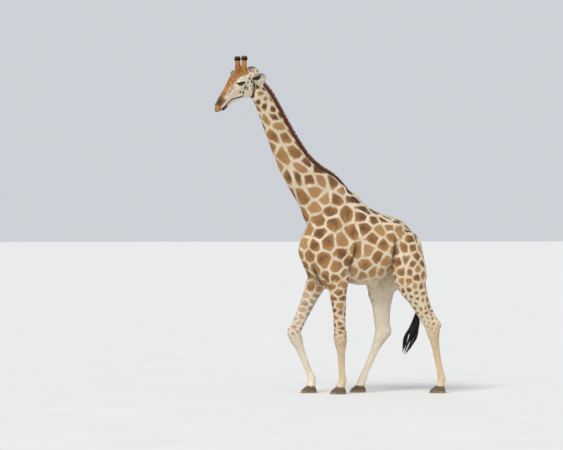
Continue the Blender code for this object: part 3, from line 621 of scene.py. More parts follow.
EAR_LENGTH = 0.214
EAR_HALF_WIDTH = 0.063
EAR_FLATNESS = 0.62           # depth of the cup, as a share of a round one's
EAR_THICKNESS = 0.0045
# Root, direction to the tip, direction the cup opens, and sag of the lower edge, in the head's own frame.
EARS = {
    "left": ((0.102, 0.090, -0.066), (-0.575, 0.735, -0.350), (0.590, 0.710, 0.060), 0.030),
    "right": ((0.095, -0.104, -0.030), (0.240, -0.760, 0.600), (1.000, 0.350, 0.000), 0.010),
}


def ear_sheet(name, share_along, share_across, inset=0.0):
    """Points of an ear's middle surface: along 0 at the root to 1 at the tip, across -1 to 1 between edges.

    `inset` moves them off the surface into the cup's hollow.
    """
    root, axis, opening, sag = EARS[name]
    axis = Vector(axis).normalized()
    facing = (Vector(opening) - axis * axis.dot(Vector(opening))).normalized()
    across = facing.cross(axis)
    s = np.clip(share_along, 0.0, 1.0)
    half = EAR_HALF_WIDTH * (0.36 + 1.30 * s**0.8 * (1 - s) ** 0.55)
    end = np.clip((1 - s) / 0.36, 0, 1)
    half = half * (0.04 + 0.96 * (1 - (1 - end) ** 2) ** 0.62)
    curl = np.radians(128 - 62 * np.clip(s / 0.45, 0, 1))
    radius = half / np.maximum(np.sin(curl / 2), 0.5)
    bow = np.sin(pi * s)
    angle = curl * share_across
    axis, facing, across = (np.array(v) for v in (axis, facing, across))
    centre = (np.array(root) + np.outer(share_along * EAR_LENGTH, axis)
              - np.outer(0.035 * s * bow, facing) - np.outer(sag * bow, across))
    lean = np.hypot(EAR_FLATNESS * np.sin(angle), np.cos(angle))
    sideways = radius * np.sin(angle) - inset * EAR_FLATNESS * np.sin(angle) / lean
    outwards = radius * (1 - np.cos(angle)) * EAR_FLATNESS + inset * np.cos(angle) / lean
    return centre + np.outer(sideways, across) + np.outer(outwards, facing)


def ear_places(name, points):
    """How far along and across an ear's sheet each point is, and how far it is on the hollow side."""
    along, across = np.linspace(0, 1, 40), np.linspace(-1, 1, 33)
    s, a = (part.ravel() for part in np.meshgrid(along, across))
    sheet, front = from_head(ear_sheet(name, s, a)), from_head(ear_sheet(name, s, a, 0.002))
    nearest = np.array([((sheet - p) ** 2).sum(1).argmin() for p in points])
    return s[nearest], a[nearest], ((points - sheet[nearest]) * (front - sheet)[nearest]).sum(1)


def ear_leaf(name):
    """One closed ear, its root sunk in the head: thin at the rim, ridged inside."""
    steps, spans = 44, 26
    along = -0.16 + 1.157 * np.sin(np.linspace(0, pi / 2, steps))
    across = np.sin(np.linspace(-pi / 2, pi / 2, spans + 1))
    points = []
    for layer in (1, -1):
        for s in along:
            row = np.full(spans + 1, s)
            thick = EAR_THICKNESS * (1.0 - 0.72 * np.abs(across) ** 3) * (1 - 0.80 * max(s, 0) ** 3)
            ridge = 0.0016 * np.cos(across * 9.0) * sin(pi * min(max(s, 0), 1)) ** 2 * (layer > 0)
            points.append(ear_sheet(name, row, across, layer * thick / 2 + ridge * (1 - across**2)))
    points = from_head(np.concatenate(points))
    width = spans + 1
    sheet = steps * width
    faces = []
    for i in range(steps - 1):
        a, b = i * width, (i + 1) * width
        for _ in range(spans):
            faces.append((a, a + 1, b + 1, b))
            faces.append((a + sheet, b + sheet, b + 1 + sheet, a + 1 + sheet))
            a, b = a + 1, b + 1
        faces.append((a - spans, b - spans, b - spans + sheet, a - spans + sheet))
        faces.append((a, a + sheet, b + sheet, b))
    for j in range(spans):
        faces.append((j, j + sheet, j + 1 + sheet, j + 1))
        last = (steps - 1) * width + j
        faces.append((last, last + 1, last + 1 + sheet, last + sheet))
    mesh = from_arrays(name + "_ear", points, np.array(faces))
    mass = bmesh.new()
    mass.from_mesh(mesh)
    bmesh.ops.remove_doubles(mass, verts=mass.verts, dist=0.0002)
    bmesh.ops.recalc_face_normals(mass, faces=mass.faces)
    mass.to_mesh(mesh)
    mass.free()
    return mesh


def unite(mesh, other):
    """One surface of both meshes, without the parts of either that lie inside the other."""
    body, added = new_object("body", mesh), new_object("added", other)
    modifier(body, "join", "BOOLEAN", operation="UNION", solver="EXACT", object=added)
    made = evaluated(body, "skin")
    bpy.data.objects.remove(added)
    return made


def make_skin():
    """The whole skin, with how far each point is from an eye's opening and how dark and bare it is."""
    mesh = skin_shell()
    points, edges = mesh_points(mesh), mesh_edges(mesh)
    normals = unit(spread(mesh_normals(mesh), edges, 3))
    points = body_features(points, normals)
    set_points(mesh, points - normals * COAT_DEPTH)
    points, opening = shape_lids(mesh_points(mesh))
    set_points(mesh, points)
    points, dark = face_features(points, mesh_normals(mesh))
    held = 0.2 + 0.6 * (opening > 3.5)
    set_points(mesh, within(smooth(points, edges, 2, held), COAT_DEPTH / 2))
    store(mesh, opening=opening, dark_skin=dark)
    for side in SIDES:
        mesh = unite(mesh, ear_leaf(side))
    opening, dark = (stored(mesh, name).astype(float) for name in ("opening", "dark_skin"))
    for name in ("opening", "dark_skin"):
        mesh.attributes.remove(mesh.attributes[name])
    # The ears were joined last, so their points have no opening: they are far from the eyes.
    far = np.abs(in_head(mesh_points(mesh))[:, 0] - EYE_FORWARD) > 0.15
    opening[far | (opening == 0) & (dark == 0)] = 9.0
    return mesh, opening, dark


# ---------------------------------------------------------------- markings

SEED = 7
# Spacing of the patches by height, on the neck and forequarters and on the back and hindquarters.
FRONT_PITCH = ((0.00, 0.050), (0.80, 0.075), (1.00, 0.125), (1.30, 0.150), (1.60, 0.160), (1.85, 0.195),
               (2.30, 0.225), (3.00, 0.215), (3.50, 0.205), (3.90, 0.165), (4.15, 0.125), (4.40, 0.100),
               (4.75, 0.085))
REAR_PITCH = ((0.00, 0.050), (0.90, 0.060), (1.20, 0.078), (1.50, 0.100), (1.75, 0.130), (2.00, 0.170),
              (2.40, 0.170), (2.60, 0.135))
LINE_WIDTH = ((0.00, 0.030), (1.10, 0.036), (1.60, 0.031), (2.20, 0.030), (2.70, 0.033), (3.20, 0.033),
              (4.60, 0.026))
# How much longer than wide the patches are on the neck, the forelegs and the top of the back.
NECK_STRETCH, FORELEG_STRETCH, BACK_STRETCH = 1.45, 0.66, 1.9
ACROSS_FACE = 0.07            # keeps the two faces of a thin part in patches of their own
FREE_SHARE, CELL_REACH = 0.80, 0.62   # of a patch's pitch: to the next middle, and to its own border
NECK_LINE = unit(np.array(middle("mane") - middle("head")))
BACK_LINE = unit(np.array((0.93, 0.0, -0.36)))
# Middles of the patches on the left side, x and z, from the neck down over the shoulder to the rump.
LEFT_PATCHES = (
    (-1.03, 4.47), (-0.95, 4.40), (-0.88, 4.39), (-1.07, 4.34), (-1.08, 4.25), (-0.98, 4.28), (-0.85, 4.23),
    (-0.73, 4.16), (-0.96, 4.07), (-0.75, 3.99), (-0.85, 3.83), (-0.67, 3.84), (-0.56, 3.88), (-0.72, 3.55),
    (-0.51, 3.60), (-0.33, 3.44), (-0.42, 3.36), (-0.61, 3.23), (-0.50, 3.24), (-0.32, 3.20), (-0.19, 3.36),
    (-0.13, 3.18), (0.04, 3.15), (-0.40, 2.94), (-0.10, 2.90), (0.08, 2.91), (0.18, 3.04), (-0.37, 2.67),
    (-0.18, 2.59), (0.03, 2.55), (0.23, 2.68), (0.32, 2.41), (-0.39, 2.25), (-0.28, 2.23), (-0.07, 2.28),
    (0.15, 2.28), (0.14, 2.10), (-0.14, 2.00), (0.08, 1.91), (0.24, 1.97), (0.04, 1.74), (-0.43, 2.08),
    (-0.39, 1.90), (0.39, 2.15), (0.30, 3.02), (0.37, 2.90), (0.52, 2.75), (0.46, 2.65), (0.67, 2.72),
    (0.64, 2.60), (0.87, 2.63), (1.09, 2.58), (1.20, 2.48), (0.49, 2.46), (0.72, 2.44), (0.53, 2.15),
    (0.77, 2.23), (0.91, 2.34), (0.68, 2.05), (0.81, 1.98), (0.50, 1.92), (0.62, 1.82), (0.47, 1.77),
    (0.36, 1.82), (1.05, 2.42), (1.21, 2.31), (1.24, 2.18), (1.11, 2.17), (1.30, 2.05), (1.13, 2.00),
    (1.22, 1.95), (1.01, 1.97), (1.06, 1.82), (1.18, 1.82), (1.31, 1.86), (1.39, 1.95), (1.16, 1.68),
    (1.29, 1.73))
# Dark spots of the cheek, temple and poll in the head's own frame: forward, up, half length and half width.
HEAD_SPOTS = (
    (0.127, 0.056, 0.020, 0.014), (0.180, 0.060, 0.015, 0.009), (0.148, -0.026, 0.019, 0.012),
    (0.108, -0.004, 0.014, 0.012), (0.154, -0.096, 0.020, 0.011), (0.212, -0.048, 0.014, 0.009),
    (0.281, -0.077, 0.018, 0.010), (0.258, -0.116, 0.021, 0.011), (0.214, -0.178, 0.021, 0.010),
    (0.205, -0.122, 0.016, 0.009), (0.356, -0.121, 0.014, 0.013), (0.388, -0.080, 0.014, 0.010),
    (0.168, -0.148, 0.014, 0.009), (0.058, 0.122, 0.024, 0.017), (0.020, 0.094, 0.022, 0.015),
    (0.066, 0.070, 0.015, 0.010), (-0.010, 0.060, 0.018, 0.012), (0.040, 0.030, 0.015, 0.011),
    (0.086, 0.098, 0.018, 0.011), (-0.004, 0.116, 0.020, 0.013), (0.100, 0.036, 0.013, 0.009))
# Height of the back by x, how far forward the face begins by the drop from the poll, and how high on the head
# its brown begins by the place forward.
TOPLINE = ((0.20, 3.14), (0.31, 3.05), (0.60, 2.84), (0.90, 2.72), (1.15, 2.62), (1.35, 2.42))
FACE_EDGE = ((-0.10, -0.06), (0.0, 0.02), (0.05, 0.08), (0.175, 0.14), (0.29, 0.25))
BROWN_EDGE = ((0.05, 0.135), (0.12, 0.112), (0.20, 0.104), (0.28, 0.106), (0.36, 0.102), (0.45, 0.096),
              (0.53, 0.082), (0.62, 0.064), (0.70, 0.050), (0.76, 0.040))
# Lines on the side of the head, as forward and up: the band of painted shade behind the jaw, the dark below
# the corner of the mouth, which is the lips' dark skin and, further back, painted shadow under the jaw, the
# nose's ridge, and the black of the lids, partly their own skin and partly painted shade, counted from the
# eye's middle.
JAW_SHADE_BAND = ((0.098, -0.075), (0.120, -0.120), (0.150, -0.175), (0.178, -0.223), (0.232, -0.256),
            (0.262, -0.292))
CORNER_AND_JAW_SHADOW = (MOUTH[-2], (0.520, -0.078), (0.475, -0.104), (0.430, -0.132), (0.385, -0.152))
BRIDGE = ((0.34, 0.098), (0.42, 0.086), (0.52, 0.066))
EYE_STREAK = ((0.050, 0.054), (0.018, 0.012), (-0.024, -0.016), (-0.066, -0.030))
# Pale places at the elbow and the stifle, as x, z and half width.
PALE_PITS = ((0.225, 1.800, 0.030), (0.945, 1.650, 0.045))


def has(names, word):
    """Where a body part's name has a word in it."""
    return np.char.find(names, word) >= 0


def nearest_part(points):
    """Name of the body part that each point lies on."""
    mass, owner = join_flesh(FLESH, 0.0)
    tree = BVHTree.FromBMesh(mass)
    mass.free()
    return np.array(FLESH)[[owner[tree.find_nearest(p)[2]] for p in points.tolist()]]


def patches(points, normals, pitch, stretch, axis, placed):
    """Cells of a plated coat grown from middles: the placed ones first, then scattered ones in what is free.

    Returns the distance to the nearest cell border in metres, the share of the way out from the cell's
    middle, and a random number for each cell.
    """
    rng = np.random.default_rng(SEED)
    free = np.ones(len(points), bool)
    first = np.full(len(points), 1e9)
    second = np.full(len(points), 1e9)
    cell = np.zeros(len(points), int)
    reach = np.zeros(len(points))
    count = 0
    for at, seed in enumerate(np.concatenate((placed, rng.permutation(len(points))))):
        if at >= len(placed) and not free[seed]:
            continue
        offset = points - points[seed]
        along = offset @ axis[seed]
        squared = (offset**2).sum(1) - along**2 * (1 - 1 / stretch[seed] ** 2)
        squared += (ACROSS_FACE * (1 - normals @ normals[seed])) ** 2 * 4
        distance = np.sqrt(np.maximum(squared, 0)) / pitch[seed]
        free[distance < FREE_SHARE] = False
        nearer = distance < first
        second = np.where(nearer, first, np.minimum(second, distance))
        first = np.where(nearer, distance, first)
        cell[nearer] = count
        reach[nearer] = pitch[seed]
        count += 1
    border = (second - first) / 2 * np.minimum(reach, 0.3)
    return border, np.clip(first / CELL_REACH, 0, 1), rng.random(count)[cell]


def face_colours(points, opening, dark, names):
    """Where the head is plain brown, and where it is dark: bare skin, with painted shade round the eyes and
    under the jaw.
    """
    u, v, w = in_head(points).T
    flat = beside(u, w)
    on_head = names == "head"
    nose = np.minimum(ramp(u, 0.590, 0.695), ramp(0.832 - u, 0.0, 0.050))
    nose = np.minimum(nose, ramp(w, -0.030, 0.034)) * on_head
    # The forehead down to its edge, the horns, the brow, thinner brown on the nose's sides and the poll,
    # and the nose and upper lip.
    brown = most(
        ramp(w - table(BROWN_EDGE, u), -0.040, 0.034) * ramp(u, 0.060, 0.100) * on_head,
        has(names, "ossicone"),
        ramp(w, 0.062, 0.104) * ramp(u, 0.045, 0.075) * ramp(0.24 - u, 0.0, 0.03) * on_head,
        0.50 * ramp(w, -0.02, 0.06) * ramp(u, 0.33, 0.45) * (u < 0.75) * on_head,
        0.52 * ramp(w, 0.035, 0.080) * ramp(0.10 - u, 0.0, 0.03) * on_head,
        nose,
        ramp(u, 0.765, 0.815) * ramp(w + 1.1 * (u - 0.80), -0.036, -0.004) * on_head * 0.95)
    # Black skin and short black hair round the eye, drawn out to both corners: partly the lids' own dark
    # skin, partly painted shade under the brow and lashes.
    streak, along = from_path(flat, [(EYE_FORWARD + a, EYE_RISE + b) for a, b in EYE_STREAK])
    width = 0.008 + 0.014 * np.sin(pi * np.clip(along, 0, 1))
    below = ramp(EYE_RISE - w + (u - EYE_FORWARD) * tan(EYE_TILT), -0.004, 0.010)
    rim = np.maximum(1 - ramp(opening - 0.55 * below, 1.70, 2.20), 1 - ramp(streak - width, -0.003, 0.005))
    # Lower lip, the mouth's line and corner with painted shadow under the jaw behind it, nostrils and ridge.
    above = above_mouth(u, w)
    return brown, most(
        dark,
        ramp(-above, -0.002, 0.006) * ramp(u, 0.640, 0.705) * on_head * 0.85,
        0.90 * bell(above + 0.004, 0.012) * ramp(u, 0.53, 0.60) * on_head,
        # Dark skin at the mouth's corner, drawn on back as painted shadow under the jaw.
        0.95 * bell(from_path(flat, CORNER_AND_JAW_SHADOW)[0], 0.0150) * on_head,
        nose * (0.60 + 0.4 * bell(from_path(beside(u, np.abs(v), w), NOSTRIL)[0], 0.022)),
        0.42 * bell(from_path(flat, BRIDGE)[0], 0.015) * on_head,
        rim * (np.abs(v) > 0.06) * on_head)


def head_spots(u, w):
    """How far inside the nearest dark spot, or the band of painted shade behind the jaw, each point is, in
    metres.
    """
    # The band behind the jaw is painted shade where the jaw meets the neck, coloured like a patch.
    inside = 0.0225 - from_path(beside(u, w), JAW_SHADE_BAND)[0]
    for forward, up, long, wide in HEAD_SPOTS:
        along = ((w - up) - (u - forward)) * sqrt(0.5)
        across = ((w - up) + (u - forward)) * sqrt(0.5)
        inside = np.maximum(inside, (1 - np.hypot(along / (1.5 * long), across / (1.5 * wide))) * wide)
    return inside


def ear_hollow(points, names):
    """How dark the ears are: their hollow, away from its pale rim, and the left one's edge near the tip."""
    hollow = np.zeros(len(points))
    for side in SIDES:
        chosen = np.flatnonzero(names == side + "_ear")
        along, across, front = ear_places(side, points[chosen])
        slant = across - 0.24 - 0.5 * (along - 0.33)
        deep = ramp(1 - np.hypot((along - 0.33) / 0.44, slant / 0.58), 0.0, 0.42) * (front > 0)
        edge = 0.75 * bell(np.abs(across) - 1.0, 0.12) * ramp(along, 0.45, 0.75) * (across > 0)
        hollow[chosen] = np.maximum(deep, edge * (side == "left"))
    return hollow


def folds(points, normals):
    """How deep in one of the body's deeper creases each point is: the coat there is darkened as painted
    shade.
    """
    deep = np.zeros(len(points))
    for side, path, depth, _ in body_lines():
        if depth > 0.015:
            line = on_line(points, normals, path, side, 0.010 + 0.36 * depth, 0.30)
            deep = np.maximum(deep, line * min((depth - 0.010) / 0.012, 1.0))
    return deep


def markings(mesh, opening, dark):
    """Store on the skin all that its colour follows."""
    points, edges = mesh_points(mesh), mesh_edges(mesh)
    normals = unit(spread(mesh_normals(mesh), edges, 4))
    names = nearest_part(points)
    u, _, w = in_head(points).T
    x, y, z = points.T
    brown, dark = face_colours(points, opening, dark, names)
    neck = (names == "neck") | (names == "head")
    fore, hind, ears = has(names, "fore"), has(names, "hind"), has(names, "_ear")
    legs = fore | hind
    # The patches, smaller and longer along the top of the back.
    top = ramp(normals[:, 2], 0.35, 0.75) * ramp(x, 0.20, 0.40) * (z > 2.3)
    rear = ramp(x, 0.45, 0.85)
    pitch = table(FRONT_PITCH, z) * (1 - rear) + table(REAR_PITCH, z) * rear
    pitch = pitch * (1 - 0.25 * top)
    stretch = np.select((top > 0.3, fore, neck), (BACK_STRETCH, FORELEG_STRETCH, NECK_STRETCH), 1.0)
    axis = np.where(neck[:, None], NECK_LINE, (0, 0, 1))
    axis = np.where((top > 0.3)[:, None], BACK_LINE, axis)
    left = np.flatnonzero((y < 0) & (normals[:, 1] < -0.15) & ~has(names, "right"))
    placed = [left[np.argmin((x[left] - a) ** 2 + (z[left] - b) ** 2)] for a, b in LEFT_PATCHES]
    border, out, tone = patches(points, normals, pitch, stretch, axis, np.array(placed))
    mark = border - table(LINE_WIDTH, z) / 2
    # Face, cheek and temple have spots of their own; the coat's patches end at the band of painted shade
    # behind the jaw.
    face = (names == "head") & (u > table(FACE_EDGE, -w))
    spots = head_spots(u, w)
    # The patches fade on the inner and lower legs, the belly, the tail, in the pits and between the legs.
    inner = ramp(-np.sign(y) * normals[:, 1], -0.15, 0.55) * legs * ramp(1.80 - z, 0, 0.20)
    fade = most(
        inner * (0.35 + 0.50 * hind),
        0.80 * ramp(0.98 - z + 0.10 * hind, 0.0, 0.22),
        ramp(0.45 - z, 0.0, 0.3),
        0.75 * ramp(-normals[:, 2], 0.55, 0.95) * ramp(2.1 - z, 0, 0.2),
        (names == "tail") * 0.6,
        *(1.2 * bell(np.hypot(x - a, z - b), wide) for a, b, wide in PALE_PITS),
        ramp(1.80 - z, 0.0, 0.05) * (np.abs(y) < 0.15) * (x > 0.45))
    back = most(
        ramp(normals[:, 2], 0.10, 0.70) * ramp(z, 2.2, 2.5) * (z < 3.4),
        ramp(z - table(TOPLINE, x), -0.26, -0.14) * ramp(x, 0.15, 0.30))
    back = np.where(face | (np.abs(spots - 0.004) < 0.006) & (z > 4.0), 1.0, back)
    store(
        mesh,
        mark=np.where(face, spots, np.maximum(mark, np.where(neck, spots, -1.0))),
        out=np.where(face, 0.0, out),
        tone=np.where(face | (neck & (spots > 0)), 0.95, tone),
        fade=spread(np.select((ears, face), (1.0, 0.0), np.clip(fade, 0, 1)), edges, 2),
        brown=np.where(ears, 0.0, brown),
        dark=most(dark, 0.40 * ramp(spots, -0.002, 0.006) * (z > 4.3), ear_hollow(points, names)),
        # Painted reflected light: the lower legs are tinted tan for warm light thrown up from sunlit grass.
        tan=0.85 * ramp(1.15 - z, 0.0, 0.5) * legs * (1 - 0.3 * inner),
        # Painted shade: how much the coat darkens in the body's deeper creases.
        fold=folds(points, normals),
        pale=spread(np.select((ears, face), (1.0, 0.40), inner), edges, 3),
        back=spread(back, edges, 2))


def thin_out(mesh):
    """Fewer, larger triangles inside the patches; their borders, the head, ears and feet stay fine."""
    item = new_object("thinned", mesh)
    points = mesh_points(mesh)
    plain = ramp(4.30 - points[:, 2] - 0.4 * (points[:, 0] + 1.0), 0.0, 0.25) * ramp(points[:, 2], 0.20, 0.40)
    plain *= ramp(stored(mesh, "mark"), 0.002, 0.018) * (folds(points, mesh_normals(mesh)) < 0.05)
    group = item.vertex_groups.new(name="plain")
    for number in np.flatnonzero(plain > 0).tolist():
        group.add([number], float(plain[number]), "REPLACE")
    mesh.calc_loop_triangles()
    share = SKIN_TRIANGLES / len(mesh.loop_triangles)
    modifier(item, "fewer", "DECIMATE", ratio=share, vertex_group=group.name)
    return evaluated(item, "skin")


# ---------------------------------------------------------------- colours and materials

def paint(red, green, blue):
    """A colour given in the usual 0 to 255 steps, as the linear light that a shader takes."""
    return tuple(c / 255 / 12.92 if c <= 10 else ((c / 255 + 0.055) / 1.055) ** 2.4
                 for c in (red, green, blue))


def solid(colour):
    return (*colour, 1.0)


class Value:
    """A number in a material, which can be used in sums."""

    def __init__(self, material, socket):
        self.material = material
        self.socket = socket

    def math(self, operation, other=None, swapped=False):
        values = [self] if other is None else [other, self] if swapped else [self, other]
        return self.material.node("ShaderNodeMath", {"operation": operation}, dict(enumerate(values)))

    def __add__(self, other):
        return self.math("ADD", other)

    def __radd__(self, other):
        return self.math("ADD", other, True)

    def __sub__(self, other):
        return self.math("SUBTRACT", other)

    def __rsub__(self, other):
        return self.math("SUBTRACT", other, True)

    def __mul__(self, other):
        return self.math("MULTIPLY", other)

    def __rmul__(self, other):
        return self.math("MULTIPLY", other, True)

    def clipped(self):
        """Kept between 0 and 1."""
        return self.math("MINIMUM", 1.0).math("MAXIMUM", 0.0)


class Finish:
    """A new material, with its nodes made from one method."""

    def __init__(self, name, **constants):
        self.made = bpy.data.materials.new(name)
        self.made.use_nodes = True
        self.tree = self.made.node_tree
        self.shader = self.tree.nodes["Principled BSDF"]
        for socket, value in constants.items():
            self.shader.inputs[socket.replace("_", " ")].default_value = value
        self.place = self.node("ShaderNodeTexCoord", {}, {}, "Object")

    def node(self, kind, settings, values, output=0):
        made = self.tree.nodes.new(kind)
        for name, value in settings.items():
            setattr(made, name, value)
        for socket, value in values.items():
            target = made.inputs[socket]
            if isinstance(value, Value):
                self.tree.links.new(value.socket, target)
            else:
                target.default_value = value
        return Value(self, made.outputs[output])

    def stored(self, name):
        return self.node("ShaderNodeAttribute", {"attribute_name": name}, {}, "Fac")

    def noise(self, scale, detail=2.0, roughness=0.5, place=None):
        """Noise by place, with `scale` cells in a metre."""
        return self.node("ShaderNodeTexNoise", {}, {
            "Vector": place or self.place, "Scale": scale, "Detail": detail, "Roughness": roughness}, "Fac")

    def stretched(self, x, y, z):
        return self.node("ShaderNodeVectorMath", {"operation": "MULTIPLY"}, {0: self.place, 1: (x, y, z)})

    def rise(self, value, low, high):
        """0 at low, 1 at high, smooth between."""
        return self.node("ShaderNodeMapRange", {"interpolation_type": "SMOOTHSTEP"},
                         {"Value": value, "From Min": low, "From Max": high})

    def mix(self, one, other, share):
        one, other = (c if isinstance(c, Value) else solid(c) for c in (one, other))
        return self.node("ShaderNodeMix", {"data_type": "RGBA"}, {0: share, 6: one, 7: other}, 2)

    def darken(self, colour, share):
        return self.node("ShaderNodeMix", {"data_type": "RGBA", "blend_type": "MULTIPLY"},
                         {0: share, 6: colour, 7: (0.0, 0.0, 0.0, 1.0)}, 2)

    def set(self, **links):
        for socket, value in links.items():
            self.tree.links.new(value.socket, self.shader.inputs[socket.replace("_", " ")])
        return self

    def bump(self, height, distance, strength=1.0):
        return self.set(Normal=self.node(
            "ShaderNodeBump", {}, {"Height": height, "Distance": distance, "Strength": strength}))


def hide_material(name, hairs):
    """The giraffe's markings, from what is stored on the skin; `hairs` adds the bump of short flat hair."""
    look = bpy.context.scene.giraffe_coat
    hide = Finish(name, Roughness=0.66, Specular_IOR_Level=0.32)
    broad, mid, fine = hide.noise(9.0, 3.0), hide.noise(34.0, 3.0, 0.6), hide.noise(160.0, 2.0)
    wobble = (broad - 0.5) * 0.034 + (mid - 0.5) * 0.018 + (fine - 0.5) * 0.006
    streak = hide.noise(1.0, 3.0, 0.6, hide.stretched(150.0, 150.0, 38.0))
    mark = hide.stored("mark") + wobble * 0.80
    patch = hide.rise(mark + (streak - 0.5) * 0.030, -0.0050, 0.0080)
    tone, out = hide.stored("tone"), hide.stored("out")
    heart = 1.0 - hide.rise(out + (mid - 0.5) * 0.6 + (streak - 0.5) * 0.7 + (fine - 0.5) * 0.2, 0.10, 0.92)
    brown = hide.mix(look.patch, look.patch_heart, (heart * (0.62 + 0.55 * tone)).clipped())
    brown = hide.mix(brown, look.patch_back, (hide.stored("back") * (0.45 + 0.40 * tone)).clipped())
    brown = hide.mix(brown, look.patch_bright, (hide.rise(tone, 0.55, 0.05) * 0.55).clipped())
    # Duller cream: random in places, and tan on the lower legs as painted light reflected from grass.
    dull_and_grass_light = (hide.rise(broad, 0.35, 0.72) * 0.55 + hide.stored("tan")).clipped()
    ground = hide.mix(look.ground, look.ground_shade, dull_and_grass_light)
    ground = hide.mix(ground, look.pale, hide.stored("pale") * 0.75)
    colour = hide.mix(ground, brown, (patch * (1.0 - hide.stored("fade"))).clipped())
    shade = hide.rise(mid + (broad - 0.5) * 0.8 + (streak - 0.5) * 0.6, 0.36, 0.72) * 0.85
    face = hide.mix(look.face_brown, look.face_shade, shade)
    on_face = hide.rise(hide.stored("brown") + (mid - 0.5) * 0.8 + (streak - 0.5) * 0.7, 0.22, 0.80)
    colour = hide.mix(colour, face, on_face)
    dark = hide.stored("dark")
    # Dark bare skin, with the painted shade round the eyes and under the jaw.
    bare = hide.rise(dark + (fine - 0.5) * 0.25 + (mid - 0.5) * 0.25, 0.15, 0.95)
    colour = hide.mix(colour, look.bare_skin, bare)
    colour = hide.darken(colour, ((streak - 0.36) * 0.24 + (fine - 0.5) * 0.12).clipped())
    # Painted shade in the body's deeper creases.
    colour = hide.darken(colour, hide.stored("fold") * 0.80)
    hide.set(Base_Color=colour, Roughness=0.60 + (streak - 0.5) * 0.25 - 0.16 * dark)
    if hairs:
        hide.bump(streak * 0.7 + fine * 0.3, 0.0016, 0.55)
    return hide.made


# ---------------------------------------------------------------- the short coat

COAT_PIECES = {
    # Piece: body parts it grows on, side it is on, and tufts.
    "coat_head": (("head", "left_ossicone", "right_ossicone", "left_ear", "right_ear"), None, 31000),
    "coat_neck": (("neck",), None, 32000),
    "coat_trunk_left": (("trunk",), "left", 30000),
    "coat_trunk_right": (("trunk",), "right", 30000),
    "coat_forelegs": (("left_fore_upper", "left_fore_lower", "right_fore_upper", "right_fore_lower"),
                      None, 31000),
    "coat_hindlegs": (("left_hind_upper", "left_hind_lower", "right_hind_upper", "right_hind_lower", "tail"),
                      None, 32000),
}
STORED = ("mark", "out", "tone", "fade", "brown", "dark", "pale", "back", "tan", "fold")
TUFT_PATCH = 0.003            # width of a tuft's patch on the map
TUFT_WAIST = 0.34             # share of a tuft's length at which it is widest


def along_skin(vectors, normals):
    """Unit vectors laid flat on the skin."""
    return unit(vectors - normals * (vectors * normals).sum(1, keepdims=True))


def hair_lie(points, normals, edges, names):
    """Direction of the coat: back from the nose, down the neck, along the trunk and down the legs."""
    lie = np.tile((0.93, 0.0, -0.36), (len(points), 1))
    lie[names == "neck"] = NECK_LINE
    down = ramp(2.0 - points[:, 2], -0.1, 0.35)[:, None]
    legs = has(names, "fore") | has(names, "hind")
    lie = np.where(legs[:, None], lie * (1 - down) + down * (0.10, 0.0, -1.0), lie)
    lie[names == "tail"] = (0.15, 0.0, -1.0)
    lie[names == "head"] = head_turned((-0.94, 0.0, 0.30))
    lie[has(names, "ossicone")] = head_turned((-0.10, 0.05, 1.0))
    for side in SIDES:
        lie[names == side + "_ear"] = unit(head_turned(EARS[side][1]))
    return along_skin(spread(lie, edges, 14), normals)


def coat_sizes(points, names):
    """Length of the tufts and how thickly they grow, at each point."""
    forward, height = in_head(points)[:, 0], points[:, 2]
    lower = has(names, "_lower")
    where = (names == "head", has(names, "ossicone"), has(names, "_ear"), lower, names == "tail")
    length = np.select(where, (
        0.0090 + 0.0105 * ramp(0.45 - forward, 0.0, 0.35), 0.013, 0.014,
        0.010 + 0.010 * ramp(height, 0.15, 0.9), 0.022), 0.026)
    dense = np.select(where, (2.2 - 1.0 * ramp(0.50 - forward, 0.0, 0.35), 1.4, 1.5, 1.7, 1.0), 1.0)
    # A fringe of longer hair hangs over the tops of the hooves.
    fringe = 1 - ramp(height, 0.100, 0.135)
    return length + 0.016 * fringe * lower, dense + 3.0 * fringe * lower


def charts(points, parts):
    """Places of points on an unwrap of the skin: each part is rolled out round its own longest line."""
    places = np.zeros((len(points), 2))
    names = sorted(set(parts))
    columns = min(len(names), 2)
    rows = -(-len(names) // columns)
    for number, name in enumerate(names):
        chosen = parts == name
        cloud = points[chosen] - points[chosen].mean(0)
        line, cross, other = np.linalg.svd(cloud, full_matrices=False)[2]
        flat = beside(np.arctan2(cloud @ other, cloud @ cross), cloud @ line)
        flat = (flat - flat.min(0)) / np.ptp(flat, axis=0)
        cell = np.array((number % columns, number // columns))
        places[chosen] = (cell + 0.02 + 0.96 * flat) / (columns, rows)
    return places


def bend(tree, roots, normals, lie, length, share):
    """How far the skin falls away, or rises if below 0, under a tuft at a share of its length."""
    places = roots + lie * (length * share)[:, None]
    nearest = np.array([tree.find_nearest(place)[0] for place in places.tolist()])
    fall = ((places - nearest) * normals).sum(1)
    return np.clip(fall, -0.30 * share * length, 0.22 * share * length)


def many(name, points, pattern, uv, patch):
    """A mesh of like tufts, given as tufts x corners x 3, each with its own patch on the map at its `uv`."""
    count, size = points.shape[:2]
    faces = (np.arange(count)[:, None, None] * size + pattern).reshape(-1, 3)
    mesh = from_arrays(name, within(points.reshape(-1, 3)), faces)
    places = (uv[:, None, :] + patch * TUFT_PATCH / 2).reshape(-1, 2).clip(0.0005, 0.9995)
    layer = mesh.uv_layers.new(name="OFBake")
    layer.data.foreach_set("uv", places[faces.ravel()].astype(np.float32).ravel())
    return mesh


